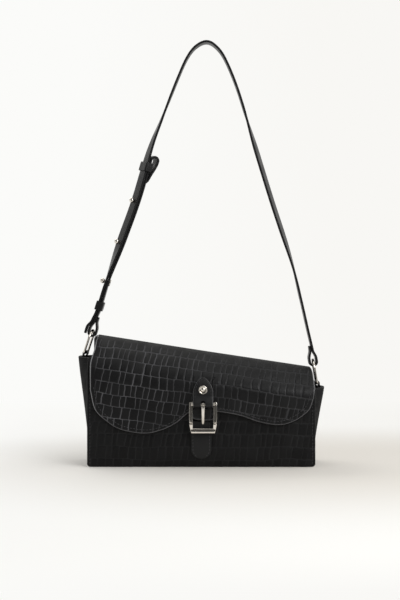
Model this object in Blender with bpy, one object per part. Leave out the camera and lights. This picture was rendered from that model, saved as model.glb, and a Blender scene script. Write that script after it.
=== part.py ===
"""Crossbody bag with a lobed flap, a buckle front and a studded shoulder strap.

Metres, +Z up. The bag stands on its flat base, whose centre is the origin. The front faces -Y,
and the taller end is at -X. Soft leather pieces are sheets with a real thickness, and the
buckle, rings, studs and snap are solid metal.
"""

import math

import bmesh
import bpy
from mathutils import Matrix, Vector

# Body
BODY_WIDTH = 0.280
BODY_DEPTH = 0.075
BACK_LEFT_HEIGHT = 0.161
BACK_RIGHT_HEIGHT = 0.120
GUSSET_LEFT_DROP = 0.0265
GUSSET_RIGHT_DROP = 0.0235
GUSSET_LEFT_HEIGHT = BACK_LEFT_HEIGHT - GUSSET_LEFT_DROP
GUSSET_RIGHT_HEIGHT = BACK_RIGHT_HEIGHT - GUSSET_RIGHT_DROP
GUSSET_FLARE = 0.0165
GUSSET_INSET = 0.0015
BASE_ROUND = 0.010
CORNER_ROUND = 0.004
BACK_INSET = 0.002
REAR_ROUND = 0.0115
REAR_DROP = 0.010
BASE_SEAM_INSET = 0.0135
BASE_SEAM_Y = BODY_DEPTH / 2 - BASE_SEAM_INSET

# Leather, lining and board
LEATHER = 0.0020
FLAP_LEATHER = 0.0018
LINING = 0.0008
BOARD = 0.0020
BOARD_MARGIN = 0.006
TOUCH = 0.0003
LINING_BELOW_MOUTH = 0.0040
LINING_SLACK = 0.0015

# Flap
ARCH_LEFT_RISE = 0.054
ARCH_RIGHT_RISE = 0.036
FOLD_Y = -0.0105
FOLD_GAP = 0.0004
FOLD_ROW = 0.0016
FLAP_SHIFT = 0.0016
TOP_INSET = 0.0073
SKIRT_INSET = 0.0020
TOP_HALF_WIDTH = BODY_WIDTH / 2 - TOP_INSET
SKIRT_HALF_WIDTH = BODY_WIDTH / 2 - SKIRT_INSET
LINING_INSET = 0.0015
LINING_GAP = 0.0007

# Height of the flap's bend over the buckle, from which the fastening is placed
BEND_HEIGHT = (BACK_LEFT_HEIGHT + BACK_RIGHT_HEIGHT - ARCH_LEFT_RISE - ARCH_RIGHT_RISE) / 2

# Magnetic snap
SNAP_BELOW_BEND = 0.0255
SNAP_HEIGHT = BEND_HEIGHT - SNAP_BELOW_BEND
SNAP_FLANGE_RADIUS = 0.0070
SNAP_FLANGE = 0.0006
SNAP_RING_RADIUS = 0.0056
SNAP_RING = 0.0014
SNAP_CORE_RADIUS = 0.0023
SNAP_CORE = 0.0012
SNAP_CORE_PLAY = 0.0006

# Buckle, tongue and front tab
BUCKLE_X = 0.0022
BUCKLE_WINDOW = 0.0250
BUCKLE_SIDE_BAR = 0.0048
BUCKLE_LOWER_BAR = 0.0054
BUCKLE_DROP = 0.0360
BUCKLE_CORNER = 0.0022
BUCKLE_TAPER = 0.0023
BUCKLE_TAPER_HEIGHT = 0.0092
BUCKLE_THICKNESS = 0.0034
BUCKLE_BEVEL = 0.0006
HEEL_BELOW_BEND = 0.0177
HEEL_HEIGHT = BEND_HEIGHT - HEEL_BELOW_BEND
BUCKLE_BOTTOM_HEIGHT = HEEL_HEIGHT - BUCKLE_DROP
HEEL_RADIUS = 0.0016
PRONG_WIDTH = 0.0044
PRONG_THICKNESS = 0.0015
PRONG_RING_RADIUS = 0.0036
PRONG_RING_PLAY = 0.0003
PRONG_REACH = 0.0248
PRONG_TIP_HEIGHT = HEEL_HEIGHT - PRONG_REACH
PRONG_TIP_WIDTH = 0.0024
PRONG_BEND = 0.0018
PRONG_SLOT_PLAY = 0.0008
TONGUE_WIDTH = 0.0245
TONGUE_LEATHER = 0.0018
TONGUE_TIP_ABOVE_BEND = 0.0152
TONGUE_TIP_HEIGHT = BEND_HEIGHT + TONGUE_TIP_ABOVE_BEND
TONGUE_TIP_ROUND = 0.0095
TONGUE_BACK_STEP = 0.0022
TONGUE_BACK_HEIGHT = TONGUE_TIP_HEIGHT - TONGUE_BACK_STEP
TONGUE_EASE = 0.0120
RIVET_ABOVE_BEND = 0.0011
RIVET_HEIGHT = BEND_HEIGHT + RIVET_ABOVE_BEND
RIVET_HEAD_RADIUS = 0.0053
RIVET_HEAD_RISE = 0.0024
RIVET_SHANK_RADIUS = 0.0016
RIVET_HOLE_PLAY = 0.0004
RIVET_CAP = 0.0009
TAB_WIDTH = 0.0255
TAB_BOTTOM_HEIGHT = 0.0110
TAB_BELOW_SNAP = 0.0127
TAB_TIP_ROUND = 0.0060

# D-rings and their tabs
RING_WIRE_RADIUS = 0.0015
RING_BOW_RADIUS = 0.0115
RING_LENGTH = 0.0300
RING_CORNER = 0.0030
RING_Y = 0.005
RING_BAR_OUT = 0.0055
RING_BAR_X = BODY_WIDTH / 2 + RING_BAR_OUT
RING_BAR_ABOVE_GUSSET = 0.0040
LEFT_RING_LEAN = math.radians(18)
RIGHT_RING_LEAN = math.radians(9.5)
RING_TAB_WIDTH = 0.0170
RING_TAB_LEATHER = 0.0015
RING_TAB_DROP = 0.0260

# Strap
STRAP_WIDTH = 0.0160
STRAP_LEATHER = 0.0028
STRAP_APEX_HEIGHT = 0.5285
ROUTE_SHIFT = 0.0010
EYE_RADIUS = 0.0030
EYE_LEG = 0.0043
EYE_CLOSE = 0.0110
END_LAP = 0.0050
TAIL_OVERHANG = 0.0190
TAIL_FLARE = 0.0009
STRAP_TIP = 0.0080
STRAP_STEP = 0.0055
FOLD_EYE_RADIUS = 0.0034
FOLD_EYE_CLOSE = 0.0290
FOLD_END_LAP = 0.0015
FOLD_TOP_RISE = 0.2220
FOLD_TOP_HEIGHT = BACK_LEFT_HEIGHT + FOLD_TOP_RISE
UPPER_KEEPER_DROP = 0.0095
LEFT_TWIST = math.radians(28)
LEFT_TWIST_HEIGHT = 0.345
RIGHT_TWIST = math.radians(15)
RIGHT_TWIST_HEIGHT = 0.325
TWIST_REACH_DOWN = 0.115
TWIST_REACH_UP = 0.125

# Keepers and studs on the strap
KEEPER_LENGTH = 0.0115
KEEPER_WALL = 0.0015
KEEPER_PLAY = 0.0005
LOWER_KEEPER_RISE = 0.0365
LOWER_KEEPER_HEIGHT = BACK_LEFT_HEIGHT + LOWER_KEEPER_RISE
STUD_RISES = (0.0665, 0.1160, 0.1680)
STUD_HEIGHTS = tuple(BACK_LEFT_HEIGHT + rise for rise in STUD_RISES)
STUD_BALL_RADIUS = 0.0032
STUD_NECK_RADIUS = 0.0017
STUD_BASE_RADIUS = 0.0044
STUD_BASE = 0.0012
STUD_HOLE_PLAY = 0.0004

# Inner pocket
POCKET_WIDTH = 0.130
POCKET_TOP = 0.085
POCKET_BOTTOM = 0.020
POCKET_SHEET = 0.0008

# Length that a cutter runs past what it cuts
OVERRUN = 0.004

# The strap's route from the left end to the right: shares of half the body's width and of the
# rise from the bag's ridge to the apex, read along the line between the two layers of strap.
ROUTE_SHARES = (
    (-0.931, 0.0907),
    (-0.846, 0.1976),
    (-0.72, 0.3376),
    (-0.59, 0.4772),
    (-0.457, 0.6470),
    (-0.351, 0.7489),
    (-0.207, 0.8830),
    (-0.126, 0.9486),
    (-0.052, 0.9843),
    (0.038, 1),
    (0.116, 0.9865),
    (0.198, 0.9470),
    (0.31, 0.8513),
    (0.449, 0.6941),
    (0.615, 0.5081),
    (0.79, 0.3256),
    (0.875, 0.2100),
    (0.942, 0.1115),
)

# The flap's lower edge from its left side to its right: shares of half its width and of the
# height of the flap's straight part at that place, measured up from the base.
FLAP_EDGE_SHARES = (
    (-0.998, 0.890),
    (-0.990, 0.832),
    (-0.955, 0.664),
    (-0.866, 0.551),
    (-0.733, 0.452),
    (-0.529, 0.414),
    (-0.378, 0.458),
    (-0.245, 0.551),
    (-0.138, 0.684),
    (-0.096, 0.712),
    (-0.080, 0.700),
    (-0.078, 0.620),
    (0.084, 0.620),
    (0.086, 0.720),
    (0.102, 0.735),
    (0.137, 0.733),
    (0.333, 0.698),
    (0.510, 0.622),
    (0.688, 0.595),
    (0.820, 0.662),
    (0.909, 0.764),
    (0.948, 0.830),
    (0.974, 0.928),
    (0.989, 1.030),
    (0.995, 1.130),
)

# Where the rows lie on a side panel's rounded foot, and on the strap's free end
GUSSET_FOOT_SHARES = (0, 0.3, 0.7)
TAIL_SHARES = (0, 0.15, 0.4, 1)

LEATHER_COLOUR = (0.010, 0.010, 0.011)
LINING_COLOUR = (0.030, 0.030, 0.032)
BOARD_COLOUR = (0.25, 0.20, 0.14)
METAL_COLOUR = (0.72, 0.70, 0.67)


def clear_scene():
    for thing in list(bpy.data.objects):
        bpy.data.objects.remove(thing, do_unlink=True)


def make_material(name, colour, roughness, metallic=0.0):
    made = bpy.data.materials.new(name)
    made.use_nodes = True
    shader = made.node_tree.nodes["Principled BSDF"]
    shader.inputs["Base Color"].default_value = (*colour, 1)
    shader.inputs["Roughness"].default_value = roughness
    shader.inputs["Metallic"].default_value = metallic
    return made


def add_object(name, mesh, material, parent=None, smooth=True):
    made = bpy.data.objects.new(name, mesh)
    bpy.context.scene.collection.objects.link(made)
    mesh.materials.append(material)
    if smooth:
        mesh.shade_smooth()
        mesh.set_sharp_from_angle(angle=math.radians(35))
    if parent:
        made.parent = parent
        made.matrix_parent_inverse = parent.matrix_world.inverted()
    return made


def mesh_from(name, points, faces):
    mesh = bpy.data.meshes.new(name)
    mesh.from_pydata([tuple(point) for point in points], [], faces)
    mesh.update()
    return mesh


def add_pivot(name, place, axis, parent=None):
    """An empty on a joint's axis, with its local X along the axis."""
    pivot = bpy.data.objects.new(name, None)
    bpy.context.scene.collection.objects.link(pivot)
    turned_to = axis.to_track_quat("X", "Z").to_matrix().to_4x4()
    pivot.matrix_world = Matrix.Translation(place) @ turned_to
    if parent:
        pivot.parent = parent
        pivot.matrix_parent_inverse = parent.matrix_world.inverted()
    bpy.context.view_layer.update()
    return pivot


def sheet(name, rows, thickness, outward, material, parent=None):
    """A grid of points as a surface, thickened away from its outer side."""
    width = len(rows[0])
    points = [point for row in rows for point in row]
    faces = []
    for i in range(len(rows) - 1):
        for j in range(width - 1):
            corner = i * width + j
            faces.append((corner, corner + 1, corner + width + 1, corner + width))
    mesh = mesh_from(name, points, faces)
    if mesh.polygons[0].normal.dot(outward) < 0:
        mesh.flip_normals()
    made = add_object(name, mesh, material, parent)
    solidify = made.modifiers.new("Thickness", "SOLIDIFY")
    solidify.thickness = thickness
    solidify.offset = -1
    solidify.use_even_offset = True
    return made


def cut(target, cutter):
    """Takes the cutter's solid out of the target."""
    cutter.hide_render = True
    cutter.display_type = "WIRE"
    boolean = target.modifiers.new("Cut", "BOOLEAN")
    boolean.operation = "DIFFERENCE"
    boolean.object = cutter
    boolean.solver = "EXACT"


def join(target, other):
    """Adds the other solid to the target."""
    other.hide_render = True
    other.display_type = "WIRE"
    boolean = target.modifiers.new("Join", "BOOLEAN")
    boolean.operation = "UNION"
    boolean.object = other
    boolean.solver = "EXACT"


def blend(start, end, share):
    return start + (end - start) * share


def across(left, right, x):
    """A size that runs evenly from the left end of the body to the right end."""
    return blend(left, right, x / BODY_WIDTH + 0.5)


def ease(share):
    """A smooth run from 0 to 1."""
    return 0.5 - 0.5 * math.cos(math.pi * min(max(share, 0), 1))


def turned(name, profile, segments, place, axis, material, parent=None):
    """A solid turned round an axis, from (radius, distance along the axis) points."""
    frame = Matrix.Translation(place) @ axis.to_track_quat("Z", "Y").to_matrix().to_4x4()
    points = []
    faces = []
    rings = []
    for radius, along in profile:
        if radius == 0:
            rings.append([len(points)])
            points.append(frame @ Vector((0, 0, along)))
            continue
        rings.append(list(range(len(points), len(points) + segments)))
        for k in range(segments):
            angle = math.tau * k / segments
            spot = Vector((radius * math.cos(angle), radius * math.sin(angle), along))
            points.append(frame @ spot)
    for ring, following in zip(rings, rings[1:]):
        for k in range(segments):
            after = (k + 1) % segments
            if len(ring) == 1:
                faces.append((ring[0], following[after], following[k]))
            elif len(following) == 1:
                faces.append((ring[k], ring[after], following[0]))
            else:
                faces.append((ring[k], ring[after], following[after], following[k]))
    return add_object(name, mesh_from(name, points, faces), material, parent)


def ribbon(name, stations, thickness, material, parent=None, smooth=True):
    """A flat strip through stations of (place, width direction, normal, half width)."""
    points = []
    faces = []
    for place, wide, normal, half in stations:
        for a, b in ((-1, -1), (1, -1), (1, 1), (-1, 1)):
            points.append(place + wide * (a * half) + normal * (b * thickness / 2))
    last = 4 * (len(stations) - 1)
    for i in range(0, last, 4):
        for k in range(4):
            after = (k + 1) % 4
            faces.append((i + k, i + after, i + after + 4, i + k + 4))
    faces.append((3, 2, 1, 0))
    faces.append((last, last + 1, last + 2, last + 3))
    mesh = mesh_from(name, points, faces)
    work = bmesh.new()
    work.from_mesh(mesh)
    bmesh.ops.recalc_face_normals(work, faces=work.faces)
    work.to_mesh(mesh)
    work.free()
    return add_object(name, mesh, material, parent, smooth)


def with_frames(places, sides, half_widths):
    """Adds a width direction and a normal to each place on a strip's centre line."""
    stations = []
    for i, place in enumerate(places):
        before = places[max(i - 1, 0)]
        after = places[min(i + 1, len(places) - 1)]
        tangent = (after - before).normalized()
        normal = tangent.cross(sides[i]).normalized()
        stations.append((place, normal.cross(tangent), normal, half_widths[i]))
    return stations


# Shape of the body


def back_height(x):
    return across(BACK_LEFT_HEIGHT, BACK_RIGHT_HEIGHT, x)


def mouth_height(x):
    return across(GUSSET_LEFT_HEIGHT, GUSSET_RIGHT_HEIGHT, x)


def arch_rise(x):
    return across(ARCH_LEFT_RISE, ARCH_RIGHT_RISE, x)


def straight_height(x):
    """Height at which the front stops being upright and starts to lean back."""
    return back_height(x) - arch_rise(x)


HALF_DEPTH = BODY_DEPTH / 2
CROWN_Y = HALF_DEPTH - REAR_ROUND
SNAP_STACK = 2 * SNAP_FLANGE + SNAP_RING + 3 * TOUCH
FLAP_STACK = SNAP_STACK + LINING + LINING_GAP + FLAP_LEATHER
FLAP_FRONT = HALF_DEPTH + FLAP_STACK
LINING_DEPTH = FLAP_LEATHER + LINING_GAP


def front_y(x, z, depth):
    """Y of the surface that lies this deep under the flap's outer face."""
    reach = CROWN_Y + FLAP_FRONT - depth
    rise = arch_rise(x) - depth
    share = min(max((z - straight_height(x)) / rise, 0), 1)
    return CROWN_Y - reach * math.sqrt(1 - share * share)


def arch_z(x, y, depth):
    """Height of the surface that lies this deep under the flap's outer face."""
    reach = CROWN_Y + FLAP_FRONT - depth
    rise = arch_rise(x) - depth
    share = min(max((CROWN_Y - y) / reach, 0), 1)
    return straight_height(x) + rise * math.sqrt(1 - share * share)


FOLD_LEFT = Vector((-BODY_WIDTH / 2, FOLD_Y, arch_z(-BODY_WIDTH / 2, FOLD_Y, 0)))
FOLD_RIGHT = Vector((BODY_WIDTH / 2, FOLD_Y, arch_z(BODY_WIDTH / 2, FOLD_Y, 0)))
FOLD_MIDDLE = (FOLD_LEFT + FOLD_RIGHT) / 2
FOLD_AXIS = (FOLD_RIGHT - FOLD_LEFT).normalized()


def columns(count):
    return [i / count for i in range(count + 1)]


def body_half_width(z):
    """Half the front panel's width, drawn in at its rounded lower corners."""
    below = min(max((BASE_ROUND - z) / BASE_ROUND, 0), 1)
    return BODY_WIDTH / 2 - CORNER_ROUND * (1 - math.sqrt(1 - below * below))


def front_panel(leather):
    """Mouth edge, upright front, rolled lower edge and base, as one hide."""
    arch_steps = 4
    wall_steps = 3
    roll_steps = 4
    base_steps = 2
    rows = []
    for share in columns(14):
        x_share = 2 * share - 1
        x_edge = x_share * BODY_WIDTH / 2
        straight = straight_height(x_edge)
        mouth = mouth_height(x_edge)
        heights = [blend(mouth, straight, i / arch_steps) for i in range(arch_steps)]
        heights += [blend(straight, BASE_ROUND, i / wall_steps) for i in range(wall_steps)]
        row = []
        for z in heights:
            y = front_y(x_edge, z, FLAP_FRONT - HALF_DEPTH)
            row.append(Vector((x_share * body_half_width(z), y, z)))
        for i in range(roll_steps + 1):
            angle = math.pi / 2 * i / roll_steps
            z = BASE_ROUND * (1 - math.sin(angle))
            y = -HALF_DEPTH + BASE_ROUND * (1 - math.cos(angle))
            row.append(Vector((x_share * body_half_width(z), y, z)))
        for i in range(1, base_steps + 1):
            y = blend(-HALF_DEPTH + BASE_ROUND, BASE_SEAM_Y, i / base_steps)
            row.append(Vector((x_share * body_half_width(0), y, 0)))
        rows.append(row)
    return sheet("front_panel", rows, LEATHER, Vector((0, -1, 0)), leather)


def top_edge_x(x_share, y):
    """The top is narrower where it passes between the rings than on the upright back."""
    narrow = FLAP_SHIFT * ease((HALF_DEPTH - y) / (HALF_DEPTH - CROWN_Y))
    half_back = BODY_WIDTH / 2 - BACK_INSET
    half = blend(half_back, TOP_HALF_WIDTH, ease((HALF_DEPTH - y) / (HALF_DEPTH - CROWN_Y)))
    return narrow + x_share * half


def back_panel(leather):
    """Upright back, rolled over the top and forward to the fold of the flap."""
    top_steps = 5
    rear_steps = 4
    wall_steps = 4
    roll_steps = 4
    rows = []
    for share in columns(14):
        x_share = 2 * share - 1
        x_edge = x_share * BODY_WIDTH / 2
        high = back_height(x_edge)
        row = []
        edge_y = FOLD_Y + FOLD_GAP / 2
        for i in range(-1, top_steps):
            y = edge_y if i < 0 else blend(edge_y + FOLD_ROW, CROWN_Y, i / top_steps)
            row.append(Vector((top_edge_x(x_share, y), y, arch_z(x_edge, y, 0))))
        for i in range(rear_steps):
            angle = math.pi / 2 * i / rear_steps
            y = CROWN_Y + REAR_ROUND * math.sin(angle)
            z = high - REAR_DROP * (1 - math.cos(angle))
            row.append(Vector((top_edge_x(x_share, y), y, z)))
        for i in range(wall_steps):
            z = blend(high - REAR_DROP, BASE_ROUND, i / wall_steps)
            half = body_half_width(z) - BACK_INSET
            row.append(Vector((x_share * half, HALF_DEPTH, z)))
        for i in range(roll_steps + 1):
            angle = math.pi / 2 * i / roll_steps
            z = BASE_ROUND * (1 - math.sin(angle))
            y = HALF_DEPTH - BASE_ROUND * (1 - math.cos(angle))
            row.append(Vector((x_share * (body_half_width(z) - BACK_INSET), y, z)))
        y = BASE_SEAM_Y + TOUCH
        row.append(Vector((x_share * (body_half_width(0) - BACK_INSET), y, 0)))
        rows.append(row)
    return sheet("back_panel", rows, LEATHER, Vector((0, 0, 1)), leather)


def gusset_span(x, z, inset):
    """Front and back Y of a side panel at this height, set in from the leather's outer faces."""
    front = front_y(x, z, FLAP_FRONT - HALF_DEPTH + inset)
    back = HALF_DEPTH - inset
    below = BASE_ROUND - z
    if below > 0:
        inner_round = BASE_ROUND - inset
        drawn = inner_round - math.sqrt(max(inner_round * inner_round - below * below, 0))
        front += drawn
        back -= drawn
    return front, back


def gusset_flare(z, top):
    """How far a side panel bows out at mid depth."""
    bottom = LEATHER + TOUCH
    share = min(max((z - bottom) / (top - bottom), 0), 1)
    return GUSSET_FLARE * share**1.15


def gusset(side, name, leather):
    x_end = side * BODY_WIDTH / 2
    top = mouth_height(x_end)
    inset = LEATHER + TOUCH
    heights = [blend(inset, BASE_ROUND, share) for share in GUSSET_FOOT_SHARES]
    heights += [blend(BASE_ROUND, top, share) for share in columns(6)]
    rows = []
    for z in heights:
        front, back = gusset_span(x_end, z, inset)
        row = []
        for share in columns(10):
            y = blend(front, back, share)
            bow = gusset_flare(z, top) * math.sin(math.pi * share)
            row.append(Vector((side * (body_half_width(z) - GUSSET_INSET + bow), y, z)))
        rows.append(row)
    return sheet(name, rows, LEATHER, Vector((side, 0, 0)), leather)


RING_TAB_STACK = 2 * RING_TAB_LEATHER + 2 * TOUCH


def lining_end(z, top):
    """Bow of the lining's end wall, which leaves room for the ring tab."""
    room = RING_TAB_STACK + LEATHER
    return max(gusset_flare(z, top) - room, 0)


def lining(fabric):
    """Open liner: four walls from the mouth down and a floor."""
    inset = LEATHER + TOUCH
    floor = LEATHER + TOUCH + BOARD + TOUCH
    end_x = BODY_WIDTH / 2 - GUSSET_INSET - LEATHER - TOUCH - LINING_SLACK
    long_steps = 8
    end_steps = 6
    levels = columns(5)
    rows = []
    for level in levels:
        row = []
        for x_share, share in lining_loop(long_steps, end_steps):
            x = x_share * end_x
            top = mouth_height(x) - LINING_BELOW_MOUTH
            z = blend(top, floor + BASE_ROUND, level)
            front, back = gusset_span(x, z, inset)
            bow = 0
            if abs(x_share) == 1:
                bow = lining_end(z, top) * math.sin(math.pi * share)
            row.append(Vector((x + math.copysign(bow, x), blend(front, back, share), z)))
        rows.append(row)
    for drop in (0.6, 1):
        row = []
        for x_share, share in lining_loop(long_steps, end_steps):
            z = blend(floor + BASE_ROUND, floor, drop)
            front, back = gusset_span(0, z, inset)
            x = x_share * (end_x - BODY_WIDTH / 2 + body_half_width(z))
            row.append(Vector((x, blend(front, back, share), z)))
        rows.append(row)
    mesh = lining_mesh(rows, long_steps, end_steps)
    made = add_object("lining", mesh, fabric)
    solidify = made.modifiers.new("Thickness", "SOLIDIFY")
    solidify.thickness = LINING
    solidify.offset = -1
    solidify.use_even_offset = True
    return made


def lining_loop(long_steps, end_steps):
    """Places round the liner as (share along X from -1 to 1, share of the depth)."""
    loop = [(2 * i / long_steps - 1, 0) for i in range(long_steps)]
    loop += [(1, i / end_steps) for i in range(end_steps)]
    loop += [(1 - 2 * i / long_steps, 1) for i in range(long_steps)]
    loop += [(-1, 1 - i / end_steps) for i in range(end_steps)]
    return loop


def lining_mesh(rows, long_steps, end_steps):
    """Walls between the rows and a floor of strips across the last row."""
    count = len(rows[0])
    points = [point for row in rows for point in row]
    faces = []
    for i in range(len(rows) - 1):
        for j in range(count):
            after = (j + 1) % count
            faces.append(
                (i * count + j, i * count + after, (i + 1) * count + after, (i + 1) * count + j)
            )
    start = (len(rows) - 1) * count
    right = [start + long_steps + k for k in range(end_steps + 1)]
    left = [start + (2 * long_steps + 2 * end_steps - k) % count for k in range(end_steps + 1)]
    front = [start + k for k in range(long_steps + 1)]
    back = [start + 2 * long_steps + end_steps - k for k in range(long_steps + 1)]
    grid = [[None] * (long_steps + 1) for _ in range(end_steps + 1)]
    for k in range(end_steps + 1):
        grid[k][0] = left[k]
        grid[k][long_steps] = right[k]
    for k in range(long_steps + 1):
        grid[0][k] = front[k]
        grid[end_steps][k] = back[k]
    for k in range(1, end_steps):
        for m in range(1, long_steps):
            share = m / long_steps
            grid[k][m] = len(points)
            points.append(points[left[k]].lerp(points[right[k]], share))
    for k in range(end_steps):
        for m in range(long_steps):
            faces.append((grid[k][m], grid[k + 1][m], grid[k + 1][m + 1], grid[k][m + 1]))
    mesh = mesh_from("lining", points, faces)
    work = bmesh.new()
    work.from_mesh(mesh)
    bmesh.ops.recalc_face_normals(work, faces=work.faces)
    work.to_mesh(mesh)
    work.free()
    if mesh.polygons[0].normal.y > 0:
        mesh.flip_normals()
    return mesh


def slab(name, corner, opposite, material, parent=None, bevel=0.0):
    """A box between two corners, with an optional bevel."""
    middle = (corner + opposite) / 2
    size = opposite - corner
    work = bmesh.new()
    bmesh.ops.create_cube(work, size=1)
    bmesh.ops.scale(work, vec=size, verts=work.verts)
    bmesh.ops.translate(work, vec=middle, verts=work.verts)
    mesh = bpy.data.meshes.new(name)
    work.to_mesh(mesh)
    work.free()
    made = add_object(name, mesh, material, parent, smooth=False)
    if bevel:
        soften = made.modifiers.new("Bevel", "BEVEL")
        soften.width = bevel
        soften.segments = 2
        soften.limit_method = "ANGLE"
    return made


def base_board(card):
    bottom = LEATHER + TOUCH
    half_x = BODY_WIDTH / 2 - GUSSET_INSET - LEATHER - BOARD_MARGIN
    half_y = HALF_DEPTH - BASE_ROUND
    return slab(
        "base_board",
        Vector((-half_x, -half_y, bottom)),
        Vector((half_x, half_y, bottom + BOARD)),
        card,
    )


def inner_pocket(fabric):
    back = HALF_DEPTH - LEATHER - TOUCH - LINING - TOUCH
    return slab(
        "inner_pocket",
        Vector((-POCKET_WIDTH / 2, back - POCKET_SHEET, POCKET_BOTTOM)),
        Vector((POCKET_WIDTH / 2, back, POCKET_TOP)),
        fabric,
    )


# Flap


def curve_through(points, first, last, steps):
    """A smooth curve through the points (Catmull-Rom), with steps(start, end) between two."""
    found = []
    padded = [first, *points, last]
    for i in range(1, len(padded) - 2):
        before, start, end, after = padded[i - 1 : i + 3]
        count = steps(start, end)
        for k in range(count):
            t = k / count
            found.append(
                0.5
                * (
                    2 * start
                    + (end - before) * t
                    + (2 * before - 5 * start + 4 * end - after) * t**2
                    + (3 * start - before - 3 * end + after) * t**3
                )
            )
    found.append(points[-1].copy())
    return found


def flap_edge(inset):
    """Places along the flap's lobed lower edge, from its left side to its right."""
    corners = []
    for x_share, z_share in FLAP_EDGE_SHARES:
        x = FLAP_SHIFT + x_share * (SKIRT_HALF_WIDTH - inset)
        corners.append(Vector((x, 0, z_share * straight_height(x) + inset)))

    def steps(start, end):
        return 1 if abs(end.x - start.x) < TAB_WIDTH / 2 else 2

    return curve_through(corners, corners[0], corners[-1], steps)


def flap_sheet(name, depth, thickness, inset, material, parent):
    """The flap from its fold down to its lobed edge, this deep under its outer face."""
    edge = flap_edge(inset)
    fold_y = FOLD_Y - FOLD_GAP / 2
    shares = [0, 0.015, 0.055, 0.11, 0.17, 0.235, 0.305, 0.38, 0.46, 0.57, 0.7, 0.85, 1]
    settled = 0.5
    rows = []
    for i, tip in enumerate(edge):
        across_share = 2 * i / (len(edge) - 1) - 1
        x_top = FLAP_SHIFT + across_share * (TOP_HALF_WIDTH - inset)
        z_top = arch_z(x_top, fold_y, depth)
        row = []
        for share in shares:
            z = blend(z_top, tip.z, share)
            x = blend(x_top, tip.x, ease(share / settled))
            row.append(Vector((x, front_y(x, z, depth), z)))
        rows.append(row)
    return sheet(name, rows, thickness, Vector((0, -1, 1)), material, parent)


# Tongue, rivet, buckle, prong, front tab and snap

HEEL_Y = -(FLAP_FRONT + 2 * TOUCH + TONGUE_LEATHER + HEEL_RADIUS)
WRAP_RADIUS = HEEL_RADIUS + TOUCH + TONGUE_LEATHER
FRONT_LAYER = 2 * (TOUCH + TONGUE_LEATHER)


def tongue_half(z, top):
    """Half the tongue's width, rounded off to a blunt point at its top."""
    share = min(max((z - top) / TONGUE_TIP_ROUND + 1, 0), 1)
    return TONGUE_WIDTH / 2 * max(1 - share * share, 0) ** 0.4


def tongue_row(y_of, z, half):
    row = []
    for share in (-1, -0.5, 0, 0.5, 1):
        x = BUCKLE_X + share * half
        row.append(Vector((x, y_of(x), z)))
    return row


def buckle_tongue(leather, metal_cut, parent):
    """A strap riveted to the flap, whose fold holds the buckle's heel bar."""
    tip_shares = [0.97, 0.85, 0.6, 0.3, 0]
    rows = []
    top = TONGUE_BACK_HEIGHT
    back_heights = [top - TONGUE_TIP_ROUND * (1 - share) for share in tip_shares]
    back_heights += [RIVET_HEIGHT, (RIVET_HEIGHT + HEEL_HEIGHT) / 2]
    for z in back_heights:
        rows.append(tongue_row(lambda x: front_y(x, z, -TOUCH), z, tongue_half(z, top)))
    for k in range(9):
        angle = math.pi * k / 8
        y = HEEL_Y + WRAP_RADIUS * math.cos(angle)
        z = HEEL_HEIGHT - WRAP_RADIUS * math.sin(angle)
        rows.append(tongue_row(lambda x: y, z, TONGUE_WIDTH / 2))
    top = TONGUE_TIP_HEIGHT
    eased = HEEL_HEIGHT + TONGUE_EASE
    front_heights = [blend(HEEL_HEIGHT, eased, k / 5) for k in (1, 2, 3, 4, 5)]
    front_heights += [RIVET_HEIGHT]
    front_heights += [top - TONGUE_TIP_ROUND * (1 - share) for share in tip_shares[::-1]]
    for z in front_heights:
        away = HEEL_Y - WRAP_RADIUS + FLAP_FRONT + FRONT_LAYER
        lift = away * (1 - ease((z - HEEL_HEIGHT) / TONGUE_EASE))
        rows.append(
            tongue_row(lambda x: front_y(x, z, -FRONT_LAYER) + lift, z, tongue_half(z, top))
        )
    made = sheet("buckle_tongue", rows, TONGUE_LEATHER, Vector((0, 1, 0)), leather, parent)
    slot_half = PRONG_WIDTH / 2 + PRONG_SLOT_PLAY
    slot_reach = PRONG_RING_RADIUS + PRONG_SLOT_PLAY
    slot = slab(
        "prong_slot_cutter",
        Vector((BUCKLE_X - slot_half, HEEL_Y - 2 * slot_reach, HEEL_HEIGHT - slot_reach)),
        Vector((BUCKLE_X + slot_half, -HALF_DEPTH, HEEL_HEIGHT + slot_reach)),
        metal_cut,
    )
    cut(made, slot)
    cut(made, rivet_cutter("tongue_hole_cutter", metal_cut))
    return made


def rivet_cutter(name, material):
    """A round cutter through tongue, flap and lining at the rivet."""
    reach = -HALF_DEPTH - HEEL_Y + OVERRUN
    radius = RIVET_SHANK_RADIUS + RIVET_HOLE_PLAY
    profile = ((0, 0), (radius, 0), (radius, reach), (0, reach))
    place = Vector((BUCKLE_X, HEEL_Y - OVERRUN, RIVET_HEIGHT))
    return turned(name, profile, 12, place, Vector((0, 1, 0)), material)


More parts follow.
